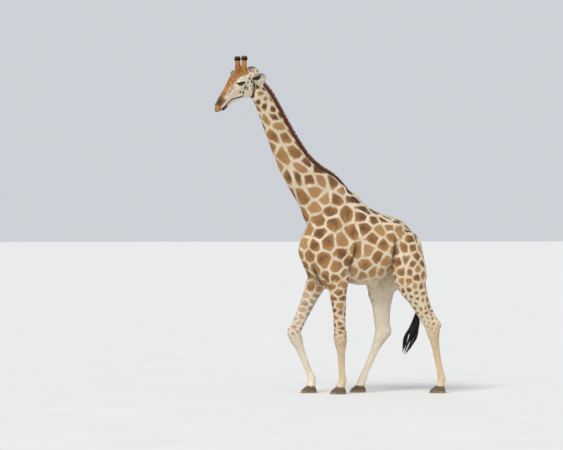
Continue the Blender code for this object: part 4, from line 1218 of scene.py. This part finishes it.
def grow(name, roots, normals, lie, length, width, lift, drops, uv):
    """A mesh of solid spindle-shaped tufts: each has its root, a three-sided waist and its tip."""
    across = np.cross(normals, lie)
    length, width, lift = length[:, None], width[:, None], lift[:, None]
    waist = roots + lie * length * TUFT_WAIST + normals * (lift * 0.55 - drops[0][:, None])
    points = beside(
        roots - normals * 0.0010,
        waist - across * width / 2,
        waist + across * width / 2,
        waist + normals * width * 0.17,
        roots + lie * length + normals * (lift - drops[1][:, None]))
    pattern = np.array(((0, 1, 3), (0, 3, 2), (0, 2, 1), (4, 3, 1), (4, 2, 3), (4, 1, 2)))
    return many(name, points, pattern, uv, np.array(((0, -1), (-0.8, 0), (0.8, 0), (0, 0.15), (0, 1))))


def steps_to(ahead, one, other):
    """How far along two sides of its triangle each point ahead of the root is, as shares of the sides."""
    aa, ab, bb = (one * one).sum(1), (one * other).sum(1), (other * other).sum(1)
    pa, pb = (ahead * one).sum(1), (ahead * other).sum(1)
    flat = np.maximum(aa * bb - ab * ab, 1e-14)
    return np.clip(beside((bb * pa - ab * pb) / flat, (aa * pb - ab * pa) / flat), -4, 4)


def make_coat(skin, names, material):
    """Scatter the short coat's tufts over the skin, piece by piece."""
    mesh = skin.data
    points, normals = mesh_points(mesh), mesh_normals(mesh)
    lie = hair_lie(points, normals, mesh_edges(mesh), names)
    length, dense = coat_sizes(points, names)
    mesh.calc_loop_triangles()
    triangles = read(mesh.loop_triangles, "vertices", 3, np.int32)
    corners = points[triangles]
    tree = BVHTree.FromPolygons(points.tolist(), triangles.tolist())
    area = np.linalg.norm(np.cross(corners[:, 1] - corners[:, 0], corners[:, 2] - corners[:, 0]), axis=1) / 2
    owner = names[triangles[:, 0]]
    on_left = corners.mean(1)[:, 1] < 0
    fields = {name: stored(mesh, name).astype(float) for name in STORED}
    furred = 1 - 0.9 * ramp(fields["dark"][triangles].mean(1), 0.3, 0.8)
    rng = np.random.default_rng(SEED + 1)
    for piece, (parts, side, count) in COAT_PIECES.items():
        chosen = np.isin(owner, parts)
        if side:
            chosen &= on_left == (side == "left")
        weight = area * dense[triangles[:, 0]] * chosen * furred
        picked = rng.choice(len(triangles), count, p=weight / weight.sum())
        one, two = rng.random(count), rng.random(count)
        over = one + two > 1
        one[over], two[over] = 1 - one[over], 1 - two[over]
        share = beside(1 - one - two, one, two)

        def between(values):
            """Values at the tufts' roots, from those of the skin's points."""
            return (values[triangles[picked]] * (share[..., None] if values.ndim > 1 else share)).sum(1)

        root, normal, along = between(points), unit(between(normals)), between(lie)
        turn = rng.normal(0, 0.20, count)[:, None]
        along = along_skin(unit(along + np.cross(normal, along) * turn), normal)
        long = between(length) * rng.uniform(0.75, 1.25, count)
        wide = long * rng.uniform(0.13, 0.21, count)
        lift = long * rng.uniform(0.010, 0.050, count) + 0.0002
        # It bends with the skin: down over a swelling, and up out of a hollow.
        drops = [bend(tree, root, normal, along, long, way) for way in (TUFT_WAIST, 1.0)]
        grown = grow(piece, root, normal, along, long, wide, lift, drops, charts(root, owner[picked]))
        # A tuft's colour is that of the skin under its middle.
        values = {name: between(field) for name, field in fields.items()}
        ahead = along * long[:, None] * 0.5
        step = steps_to(ahead, *(corners[picked, k] - corners[picked, 0] for k in (1, 2)))
        for name in ("mark", "brown", "dark"):
            ends = fields[name][triangles[picked]]
            values[name] += ((ends[:, 1:] - ends[:, :1]) * step).sum(1)
        values["tone"] = fields["tone"][triangles[picked, 0]]
        store(grown, **{name: np.repeat(value, 5) for name, value in values.items()})
        finish_piece(piece, grown, material, "coat")


# ---------------------------------------------------------------- what a user can change

class GiraffeCoatLook(bpy.types.PropertyGroup):
    """Colours of the coat."""

    ground: FloatVectorProperty(
        name="Lines", description="Cream between the patches",
        default=paint(232, 216, 188), subtype="COLOR")
    ground_shade: FloatVectorProperty(
        name="Line shade", description="Duller cream in places",
        default=paint(214, 190, 154), subtype="COLOR")
    pale: FloatVectorProperty(
        name="Pale coat", description="Inner legs, ears and lower legs",
        default=paint(238, 226, 204), subtype="COLOR")
    patch: FloatVectorProperty(
        name="Patch", description="Edge of a patch",
        default=paint(182, 134, 80), subtype="COLOR")
    patch_heart: FloatVectorProperty(
        name="Patch middle", description="Dark middle of a patch",
        default=paint(108, 68, 36), subtype="COLOR")
    patch_bright: FloatVectorProperty(
        name="Bright patch", description="Palest patches",
        default=paint(204, 160, 108), subtype="COLOR")
    patch_back: FloatVectorProperty(
        name="Back patch", description="Patches along the back",
        default=paint(84, 54, 32), subtype="COLOR")
    face_brown: FloatVectorProperty(
        name="Face", description="Forehead, nose and horns",
        default=paint(188, 130, 66), subtype="COLOR")
    face_shade: FloatVectorProperty(
        name="Face shade", description="Darker hair of the forehead",
        default=paint(128, 80, 40), subtype="COLOR")
    bare_skin: FloatVectorProperty(
        name="Bare skin", description="Eye rims, nostrils and lips",
        default=paint(44, 33, 28), subtype="COLOR")


class GIRAFFE_OT_skin(bpy.types.Operator):
    """One skin over all the flesh, with its lids, nostrils, lips, ears, folds and markings"""

    bl_idname = "giraffe.skin"
    bl_label = "Skin and coat"

    def execute(self, context):
        mesh, opening, dark = make_skin()
        markings(mesh, opening, dark)
        mesh = thin_out(mesh)
        skin = finish_piece("skin", mesh, hide_material("hide", True), "coat", *FLESH)
        make_coat(skin, nearest_part(mesh_points(mesh)), hide_material("short coat", False))
        return {"FINISHED"}


# ---------------------------------------------------------------- long hair

def strands(name, paths, widths, uv, material, slot, *nodes):
    """A piece of tapering three-sided locks; paths is locks x points x 3, and each lock has its own width."""
    count, steps = paths.shape[:2]
    along = unit(np.gradient(paths, axis=1))
    hint = np.zeros_like(along)
    hint[..., 1] = 1.0
    across = unit(np.cross(along, hint) + 1e-6)
    other = np.cross(along, across)
    share = np.linspace(0, 1, steps)
    taper = (1 - share**2.2)[None, :, None] * widths[:, None, None] / 2
    rings = []
    for corner in range(3):
        angle = 2 * pi * corner / 3
        rings.append(paths + (across * cos(angle) + other * sin(angle)) * taper)
    points = np.stack(rings, 2)[:, :-1].reshape(count, -1, 3)
    points = np.concatenate((points, paths[:, -1:]), 1)
    size = points.shape[1]
    pattern = [(0, 2, 1)]
    for i in range(0, size - 4, 3):
        for j in range(3):
            a, b = i + j, i + (j + 1) % 3
            pattern += [(a, b, b + 3), (a, b + 3, a + 3)]
    pattern += [(size - 4 + j, size - 4 + (j + 1) % 3, size - 1) for j in range(3)]
    down = np.append(np.repeat(share[:-1], 3), 1.0)
    patch = beside(np.append(np.tile((-0.8, 0.8, 0.2), steps - 1), 0.0), 2 * down - 1)
    mesh = many(name, points, np.array(pattern), uv, patch)
    rng = np.random.default_rng(len(name))
    store(mesh, down=np.tile(down, count), lock=np.repeat(rng.random(count), size))
    finish_piece(name, mesh, material, slot, *nodes)


def hair_material(name, root, tip, roughness=0.45):
    """Long hair, darker in some locks, from one colour at the root to another at the tip."""
    hair = Finish(name, Specular_IOR_Level=0.45)
    streak = hair.noise(1.0, 3.0, 0.6, hair.stretched(260.0, 260.0, 60.0))
    colour = hair.mix(root, tip, hair.rise(hair.stored("down") + (streak - 0.5) * 0.5, 0.15, 0.95))
    colour = hair.darken(colour, (hair.stored("lock") * 0.36 + (streak - 0.4) * 0.35).clipped())
    hair.set(Base_Color=colour, Roughness=roughness + (streak - 0.5) * 0.3)
    return hair.bump(streak, 0.001, 0.4).made


def shaded(colour, share):
    """A colour with its light multiplied by a share."""
    return tuple(share * c for c in colour)


# Nape, from behind the head down to the withers, as x and z in the middle of the neck.
NAPE = ((-1.020, 4.635), (-0.905, 4.500), (-0.785, 4.300), (-0.615, 3.995), (-0.465, 3.745), (-0.300, 3.515),
        (-0.105, 3.350), (0.115, 3.225), (0.310, 3.055))
MANE_HEIGHT = 0.074
# Height of the mane by the place along its line, out of MANE_STEPS.
MANE_STEPS = 400
MANE_TOP = ((0, 0.010), (14, 0.030), (40, MANE_HEIGHT), (330, MANE_HEIGHT), (399, 0.014))
# The tuft's middle line and half width, from inside the end of the tail downwards.
TUFT_LINE = ((1.412, 0.000, 1.300, 0.018), (1.390, 0.002, 1.190, 0.044), (1.360, 0.004, 1.040, 0.072),
             (1.300, 0.006, 0.860, 0.092), (1.230, 0.008, 0.680, 0.074), (1.176, 0.010, 0.545, 0.020))
TUFT_CLUMPS = 7               # wisps that the tuft parts into


class GiraffeHairLook(bpy.types.PropertyGroup):
    """Long hair: the mane, the tail's tuft, the lashes and the hair of the ears."""

    mane_locks: IntProperty(name="Mane locks", description="How many locks the mane has",
                            default=8600, min=100, subtype="UNSIGNED")
    tail_locks: IntProperty(name="Tail locks", description="How many locks the tail's tuft has",
                            default=1500, min=50, subtype="UNSIGNED")
    mane_root: FloatVectorProperty(
        name="Mane root", description="Colour at the neck",
        default=paint(88, 44, 26), subtype="COLOR")
    mane_tip: FloatVectorProperty(
        name="Mane tip", description="Colour at the top",
        default=paint(150, 84, 48), subtype="COLOR")
    black: FloatVectorProperty(
        name="Black hair", description="Tail, horn tips and lashes",
        default=paint(30, 24, 22), subtype="COLOR")
    ear: FloatVectorProperty(
        name="Ear hair", description="Long pale hair inside the ears",
        default=paint(248, 242, 228), subtype="COLOR")


class GIRAFFE_OT_mane(bpy.types.Operator):
    """Upright mane of stiff locks from the poll to the withers"""

    bl_idname = "giraffe.mane"
    bl_label = "Mane"

    def execute(self, context):
        look = context.scene.giraffe_hair
        rng = np.random.default_rng(SEED + 2)
        crest = [*from_head(((0.020, 0, 0.062), (-0.045, 0, 0.018))), *((x, 0.0, z) for x, z in NAPE)]
        line = curve_through(crest, MANE_STEPS)
        tall = table(MANE_TOP, np.arange(MANE_STEPS))
        along = unit(np.gradient(line, axis=0))
        out = unit(np.cross(along, (0.0, 1.0, 0.0)))
        out *= np.sign(out[:, :1] + out[:, 2:3])
        count = look.mane_locks
        at = rng.uniform(0, MANE_STEPS - 1.01, count)
        index = at.astype(int)
        base = line[index] + (line[index + 1] - line[index]) * (at - index)[:, None]
        side = rng.uniform(-1, 1, count)
        clump = np.sin(at * 0.9 + 2.0 * np.sin(at * 0.31)) * 0.5 + 0.5
        high = tall[index] * rng.uniform(0.80, 1.0, count) * (0.90 + 0.10 * clump)
        lean = rng.normal(0.22, 0.10, count) + 0.14 * np.sin(at * 0.55)
        start = base - out[index] * 0.012
        start[:, 1] += side * 0.0115
        end = base + out[index] * high[:, None] + along[index] * (high * lean)[:, None]
        end[:, 1] += side * 0.0045 + rng.normal(0, 0.0018, count)
        share = np.linspace(0, 1, 5)[None, :, None]
        bow = along[index][:, None] * (high * 0.12)[:, None, None] * np.sin(pi * share)
        paths = start[:, None] + (end - start)[:, None] * share - bow
        uv = beside(0.02 + 0.96 * at / (MANE_STEPS - 1), 0.5 + 0.47 * side)
        material = hair_material("mane hair", look.mane_root, look.mane_tip)
        strands("mane_hair", paths, rng.uniform(0.0022, 0.0040, count), uv, material, "mane", "mane")
        return {"FINISHED"}


class GIRAFFE_OT_tail_tuft(bpy.types.Operator):
    """Long wavy black hair at the end of the tail"""

    bl_idname = "giraffe.tail_tuft"
    bl_label = "Tail tuft"

    def execute(self, context):
        look = context.scene.giraffe_hair
        rng = np.random.default_rng(SEED + 3)
        count, steps = look.tail_locks, 11
        line = curve_through(TUFT_LINE, 100)
        clump = rng.integers(0, TUFT_CLUMPS, count)
        start = rng.beta(1.1, 2.2, count) * 0.55
        end = np.minimum(start + rng.uniform(0.38, 0.85, count), rng.uniform(0.90, 1.0, count))
        end_at = 0.74 + 0.26 * np.abs(np.sin(clump * 1.7 + 0.9))
        end = np.minimum(end, np.maximum(end_at, start + 0.1))
        share = start[:, None] + (end - start)[:, None] * np.linspace(0, 1, steps)
        row = line[(share * 99).astype(int)]
        # Each wisp has its own middle, which moves off the tuft's middle line on the way down.
        middle_x = (clump / (TUFT_CLUMPS - 1) * 2 - 1) * 0.88
        middle_y = 0.5 * np.sin(clump * 2.4)
        angle, far = rng.uniform(0, 2 * pi, count), np.sqrt(rng.random(count))
        wave = rng.uniform(0, 2 * pi, count)[:, None]
        open_out = ramp(np.tile(np.linspace(0, 1, steps), (count, 1)), -0.05, 0.40)
        apart = ramp(share, 0.10, 0.62)
        reach = far[:, None] * row[..., 3] * (0.25 + 0.70 * open_out) * (1 - 0.80 * apart)
        reach = reach * (1 + 0.13 * np.sin(share * 21 + wave))
        paths = row[..., :3].copy()
        aside = row[..., 3] * apart * (1 + 0.16 * np.sin(share * 13 + clump[:, None]))
        paths[..., 0] += middle_x[:, None] * aside
        paths[..., 1] += middle_y[:, None] * aside
        paths[..., 0] += np.cos(angle)[:, None] * reach
        paths[..., 1] += np.sin(angle)[:, None] * reach * 0.75
        paths[..., 0] += 0.004 * np.sin(share * 34 + wave * 2)
        uv = beside(0.03 + 0.94 * angle / (2 * pi), 0.03 + 0.94 * start / 0.55)
        material = hair_material("tail hair", look.black, shaded(look.black, 1.5))
        strands("tail_hair", paths, rng.uniform(0.0026, 0.0050, count), uv, material, "tuft", "tail_tuft")
        return {"FINISHED"}


# ---------------------------------------------------------------- eyes, horn tips and hooves

EYE_LOOK = (0.22, 0.95, -0.14)   # where the left eye looks, in the head's own frame
PUPIL_HALF_LENGTH, PUPIL_HALF_HEIGHT = 0.0105, 0.0060
EAR_HAIRS, HORN_HAIRS = 900, 900   # on each ear and round each horn tip
HOOF_RING = 0.013             # between one growth ring and the next


class GIRAFFE_OT_eyes(bpy.types.Operator):
    """Wet dark eyes with a raised clear front and a long level pupil, and their lashes"""

    bl_idname = "giraffe.eyes"
    bl_label = "Eyes and lashes"

    def execute(self, context):
        look = context.scene.giraffe_hair
        eye = Finish("eye", Roughness=0.03, Coat_Weight=1.0, Coat_Roughness=0.01, Specular_IOR_Level=0.6)
        off_axis, pupil = eye.stored("off_axis"), eye.stored("pupil")
        rays = eye.noise(1.0, 2.0, 0.5, eye.stretched(420.0, 420.0, 420.0))
        paler = eye.rise(off_axis + (rays - 0.5) * 0.25, 0.25, 0.62)
        iris = eye.mix(paint(44, 26, 16), paint(84, 54, 32), paler)
        colour = eye.mix(iris, paint(26, 18, 14), eye.rise(off_axis, 0.60, 0.70))
        colour = eye.mix(colour, paint(92, 70, 56), eye.rise(off_axis, 0.92, 1.30))
        colour = eye.mix(paint(6, 6, 9), colour, eye.rise(pupil, 0.85, 1.05))
        eye.set(Base_Color=colour)
        lash = hair_material("lashes", look.black, shaded(look.black, 0.8), 0.35)
        rng = np.random.default_rng(SEED + 4)
        for name, side in (("left", 1), ("right", -1)):
            centre = in_head(np.array(middle(name + "_eye")))
            ball = bmesh.new()
            bmesh.ops.create_uvsphere(ball, u_segments=64, v_segments=40, radius=1.0)
            mesh = new_mesh(name + "_eyeball", ball)
            points = mesh_points(mesh)
            angle = np.arccos(np.clip(points[:, 2], -1, 1))
            front = unit(np.array(EYE_LOOK) * (1, side, 1))
            along = eye_axes(side)[0]
            along = unit(along - front * (along @ front))
            above = np.cross(front, along)
            radius = (EYE_RADIUS - 0.0005) * (1 + 0.055 * ramp(angle, 0.62, 0.10))
            local = (points @ np.array((along, above, front))) * radius[:, None]
            set_points(mesh, from_head(local + centre))
            level = np.hypot(local @ along / PUPIL_HALF_LENGTH, local @ above / PUPIL_HALF_HEIGHT)
            store(mesh, off_axis=angle, pupil=np.where(angle < 1.2, level, 9.0))
            finish_piece(name + "_eyeball", mesh, eye.made, "eye", name + "_eye")
            self.lashes(name, side, centre, rng, lash)
        return {"FINISHED"}

    @staticmethod
    def lashes(name, side, centre, rng, material):
        """Long lashes along the upper lid and short ones along the lower."""
        along, above, out = eye_axes(side)
        paths, widths = [], []
        for lid, count, longest in ((UPPER_LID, 64, 0.036), (-LOWER_LID, 30, 0.013)):
            for place in np.linspace(-0.93, 0.93, count):
                place += rng.normal(0, 0.01)
                a = LID_LENGTH * place * 1.02
                b = lid * 1.03 * np.sqrt(max(1 - place**2, 0.02))
                over_ball = np.sqrt(max(EYE_RADIUS**2 - a * a - b * b, 1e-5)) + 0.0022
                base = out * over_ball + along * a + above * b
                long = longest * rng.uniform(0.75, 1.0) * (0.65 + 0.35 * np.sqrt(1 - place**2))
                fan = along * (0.75 * place + rng.normal(0.10, 0.06))
                if lid > 0:
                    first, later = out * 0.85 + fan - above * 0.05, out * 0.42 + fan * 1.1 - above * 0.75
                else:
                    first, later = out * 0.8 + fan - above * 0.3, out * 0.6 + fan - above * 0.7
                share = np.linspace(0, 1, 6)[:, None]
                path = base + long * (first * share + (later - first) * share**2 * 0.5)
                paths.append(from_head(path + centre))
                widths.append(0.0012 if lid > 0 else 0.0008)
        count = len(paths)
        uv = beside(np.linspace(0.02, 0.98, count), np.resize((0.1, 0.5, 0.9), count))
        strands(name + "_lashes", np.array(paths), np.array(widths), uv, material, "eye")


class GIRAFFE_OT_ear_hair(bpy.types.Operator):
    """Long pale hair standing inward from the rims of the ears"""

    bl_idname = "giraffe.ear_hair"
    bl_label = "Ear hair"

    def execute(self, context):
        look = context.scene.giraffe_hair
        pale = hair_material("ear hair", shaded(look.ear, 0.94), look.ear, 0.6)
        rng = np.random.default_rng(SEED + 6)
        for name in SIDES:
            count = EAR_HAIRS
            along = 0.10 + 0.84 * rng.random(count)
            rim = rng.choice((-1, 1), count)
            across = rim * rng.uniform(0.52, 0.96, count)
            base = ear_sheet(name, along, across, 0.0015)
            onward = ear_sheet(name, np.minimum(along + 0.10, 0.995), across * 0.86, 0.0060) - base
            onward = unit(onward) * rng.uniform(0.016, 0.036, count)[:, None]
            onward = onward * (0.5 + 0.5 * np.abs(across))[:, None]
            up = unit(ear_sheet(name, along, across, 0.010) - base) * 0.0045
            share = np.linspace(0, 1, 5)[None, :, None]
            paths = base[:, None] + onward[:, None] * share + up[:, None] * np.sin(pi * share * 0.8)
            paths = from_head(paths.reshape(-1, 3)).reshape(paths.shape)
            uv = beside(0.02 + 0.96 * along, 0.5 + 0.46 * across)
            strands(name + "_ear_hair", paths, rng.uniform(0.0010, 0.0018, count), uv, pale, "coat")
        return {"FINISHED"}


class GIRAFFE_OT_horn_tips(bpy.types.Operator):
    """Bald rounded horn tips in a ring of stiff black hair"""

    bl_idname = "giraffe.horn_tips"
    bl_label = "Horn tips"

    def execute(self, context):
        look = context.scene.giraffe_hair
        horn = Finish("bald horn", Specular_IOR_Level=0.4)
        broad, fine = horn.noise(38.0, 4.0, 0.6), horn.noise(240.0, 3.0)
        worn = horn.rise(horn.stored("top") + (broad - 0.5) * 0.5, 0.35, 0.95)
        colour = horn.mix(paint(46, 38, 36), paint(108, 86, 80), worn)
        colour = horn.darken(colour, ((fine - 0.4) * 0.6).clipped())
        horn.set(Base_Color=colour, Roughness=0.42 + broad * 0.25)
        horn.bump(broad * 0.6 + fine * 0.4, 0.0016, 0.6)
        black = hair_material("horn hair", look.black, shaded(look.black, 1.3))
        rng = np.random.default_rng(SEED + 5)
        for name in SIDES:
            knob = name + "_ossicone_knob"
            mesh = one_surface(NODES[knob].data.copy(), name + "_horn_tip", 0.0035)
            points = smooth(mesh_points(mesh), mesh_edges(mesh), 120)
            line = np.array((middle(knob) - middle(name + "_ossicone")).normalized())
            centre = np.array(middle(knob))
            height = (points - centre) @ line
            dents = sum(np.sin(points @ rng.normal(0, 130, 3) + rng.uniform(0, 6)) for _ in range(5))
            set_points(mesh, points + mesh_normals(mesh) * (0.0004 * dents - 0.0006)[:, None])
            store(mesh, top=ramp(height, -0.010, 0.030))
            finish_piece(name + "_horn_tip", mesh, horn.made, "knob", knob)
            # Hair stands round the tip, from the last of the furred shaft.
            count = HORN_HAIRS
            angle = rng.uniform(0, 2 * pi, count)
            cross = unit(np.cross(line, (1.0, 0.0, 0.0)))
            other = np.cross(line, cross)
            around = np.cos(angle)[:, None] * cross + np.sin(angle)[:, None] * other
            down = rng.uniform(-0.042, -0.022, count)
            base = centre + line * down[:, None] + around * 0.0365
            long = rng.uniform(0.020, 0.030, count)[:, None, None]
            share = np.linspace(0, 1, 5)[None, :, None]
            swell = around[:, None] * (0.0105 * np.sin(pi * share * 0.75))
            paths = base[:, None] + line * long * share + swell
            uv = beside(0.03 + 0.94 * angle / (2 * pi), 0.03 + 0.94 * (down + 0.042) / 0.020)
            strands(name + "_horn_hair", paths, rng.uniform(0.0018, 0.0030, count), uv, black, "knob")
        return {"FINISHED"}


class GIRAFFE_OT_hooves(bpy.types.Operator):
    """Eight claws of worn horn with growth rings and dusty soles"""

    bl_idname = "giraffe.hooves"
    bl_label = "Hooves"

    def execute(self, context):
        horn = Finish("hoof horn", Specular_IOR_Level=0.4)
        rings = horn.node("ShaderNodeTexWave", {"bands_direction": "Z"}, {
            "Vector": horn.place, "Scale": 34.0, "Distortion": 2.2, "Detail": 2.0, "Detail Scale": 1.4,
        }, "Fac")
        scratch = horn.noise(1.0, 3.0, 0.6, horn.stretched(130.0, 130.0, 30.0))
        dust = horn.noise(26.0, 4.0, 0.6)
        colour = horn.mix(paint(66, 52, 42), paint(112, 90, 68), (rings * 0.5 + scratch * 0.5).clipped())
        dusty = horn.rise(dust + horn.stored("low") * 0.35, 0.55, 0.95) * 0.75
        colour = horn.mix(colour, paint(164, 140, 106), dusty)
        horn.set(Base_Color=colour, Roughness=0.52 + dust * 0.3)
        horn.bump(rings * 0.6 + scratch * 0.4, 0.0012, 0.5)
        for node in (f"{leg}_hoof_{which}" for leg in LEGS for which in ("outer", "inner")):
            mesh = one_surface(NODES[node].data.copy(), node + "_claw", 0.0045)
            points = mesh_points(mesh)
            low, high = points[:, 2].min(), points[:, 2].max()
            sole = 1 - ramp(points[:, 2], low + 0.001, low + 0.009)
            points = smooth(points, mesh_edges(mesh), 7, sole * 0.85)
            normals = mesh_normals(mesh)
            rise = points[:, 2] - low
            # The wall leans in towards the hair at its top.
            lean = 0.30 * ramp(rise, 0.030, high - low) ** 1.4
            points[:, :2] += (middle_of_ankle(node.split("_hoof")[0]) - points[:, :2]) * lean[:, None]
            ring = np.sin(rise * 2 * pi / HOOF_RING + 3 * points[:, 0]) * ramp(rise, 0.008, 0.02)
            wall = 1 - np.abs(normals[:, 2])
            points = points + normals * (0.0006 * ring * wall - 0.0003)[:, None]
            points[:, 2] = np.clip(points[:, 2], max(low, 0.0) + 0.00001, high)
            set_points(mesh, points)
            store(mesh, low=1 - ramp(rise, 0.0, 0.06))
            finish_piece(node + "_claw", mesh, horn.made, "hoof", node)
        return {"FINISHED"}


# ---------------------------------------------------------------- the stage

VIEW_AZIMUTH = radians(-12)
VIEW_DISTANCE = 45.0
VIEW_WIDTH = 8.445            # metres of the scene across the picture at the giraffe
VIEW_CENTRE = 0.5004          # the place along the animal that the camera's aim is measured from
VIEW_ASIDE, VIEW_HEIGHT = -1.1775, 2.52
# Lamps: name, width of the light in degrees, and place to the camera's right, towards it and up.
LAMPS = (("key", 24.0, -3.5, 6.0, 7.5), ("fill", 60.0, 7.0, 4.0, 3.0))


class GiraffeStageLook(bpy.types.PropertyGroup):
    """The studio."""

    key: FloatProperty(name="Key light", description="Strength of the soft light from the left",
                       default=2.3, min=0.0, unit="NONE")
    fill: FloatProperty(name="Fill light", description="Strength of the light from the right",
                        default=0.35, min=0.0, unit="NONE")
    sky: FloatProperty(name="Room light", description="Strength of the even light all round",
                       default=0.76, min=0.0, unit="NONE")


class GIRAFFE_OT_stage(bpy.types.Operator):
    """A pale floor and pale surroundings, soft lights and the camera"""

    bl_idname = "giraffe.stage"
    bl_label = "Stage"

    def execute(self, context):
        look = context.scene.giraffe_stage
        scene = context.scene
        # Directions to the picture's right and from the giraffe to the camera.
        right = Vector((cos(VIEW_AZIMUTH), sin(VIEW_AZIMUTH), 0))
        back = Vector((sin(VIEW_AZIMUTH), -cos(VIEW_AZIMUTH), 0))
        lens = bpy.data.cameras.new("camera")
        camera = new_object("camera", lens)
        centre = Vector((VIEW_CENTRE, 0, VIEW_HEIGHT)) + right * VIEW_ASIDE
        camera.location = centre + back * VIEW_DISTANCE
        camera.rotation_euler = (-back).to_track_quat("-Z", "Y").to_euler()
        lens.lens = lens.sensor_width * VIEW_DISTANCE / VIEW_WIDTH
        lens.clip_end = 500.0
        scene.camera = camera

        floor = Finish("floor", Roughness=0.85)
        grain = floor.noise(0.7, 3.0)
        floor.set(Base_Color=floor.mix(paint(214, 213, 210), paint(222, 221, 218), grain))
        mass = bmesh.new()
        bmesh.ops.create_grid(mass, x_segments=8, y_segments=8, size=400.0)
        ground = new_object("floor", new_mesh("floor", mass))
        ground.location.z = -0.0005
        ground.data.materials.append(floor.made)

        world = bpy.data.worlds.new("room")
        world.use_nodes = True
        shade = world.node_tree.nodes["Background"]
        shade.inputs["Color"].default_value = solid(paint(232, 236, 242))
        shade.inputs["Strength"].default_value = look.sky
        scene.world = world
        for name, width, aside, near, height in LAMPS:
            light = bpy.data.lights.new(name, "SUN")
            light.energy, light.angle = getattr(look, name), radians(width)
            lamp = new_object(name, light)
            lamp.location = right * aside + back * near + UP * height
            lamp.rotation_euler = lamp.location.to_track_quat("Z", "Y").to_euler()
        scene.view_settings.view_transform = "Standard"
        return {"FINISHED"}


class GIRAFFE_PT_panel(bpy.types.Panel):
    """The giraffe's pieces and colours"""

    bl_label = "Giraffe"
    bl_idname = "GIRAFFE_PT_panel"
    bl_space_type = "VIEW_3D"
    bl_region_type = "UI"
    bl_category = "Giraffe"

    def draw(self, context):
        for operator in OPERATORS:
            self.layout.operator(operator.bl_idname)
        for name in GROUPS:
            look = getattr(context.scene, name)
            for key in look.__annotations__:
                self.layout.prop(look, key)


OPERATORS = (GIRAFFE_OT_skin, GIRAFFE_OT_ear_hair, GIRAFFE_OT_eyes, GIRAFFE_OT_horn_tips, GIRAFFE_OT_hooves,
             GIRAFFE_OT_mane, GIRAFFE_OT_tail_tuft, GIRAFFE_OT_stage)
GROUPS = {"giraffe_coat": GiraffeCoatLook, "giraffe_hair": GiraffeHairLook, "giraffe_stage": GiraffeStageLook}


def register():
    for name, group in GROUPS.items():
        bpy.utils.register_class(group)
        setattr(bpy.types.Scene, name, PointerProperty(type=group))
    for made in (*OPERATORS, GIRAFFE_PT_panel):
        bpy.utils.register_class(made)


def unregister():
    for made in (GIRAFFE_PT_panel, *reversed(OPERATORS)):
        bpy.utils.unregister_class(made)
    for name, group in GROUPS.items():
        delattr(bpy.types.Scene, name)
        bpy.utils.unregister_class(group)


def main():
    register()
    for operator in OPERATORS:
        family, name = operator.bl_idname.split(".")
        getattr(getattr(bpy.ops, family), name)()


if __name__ == "__main__":
    main()
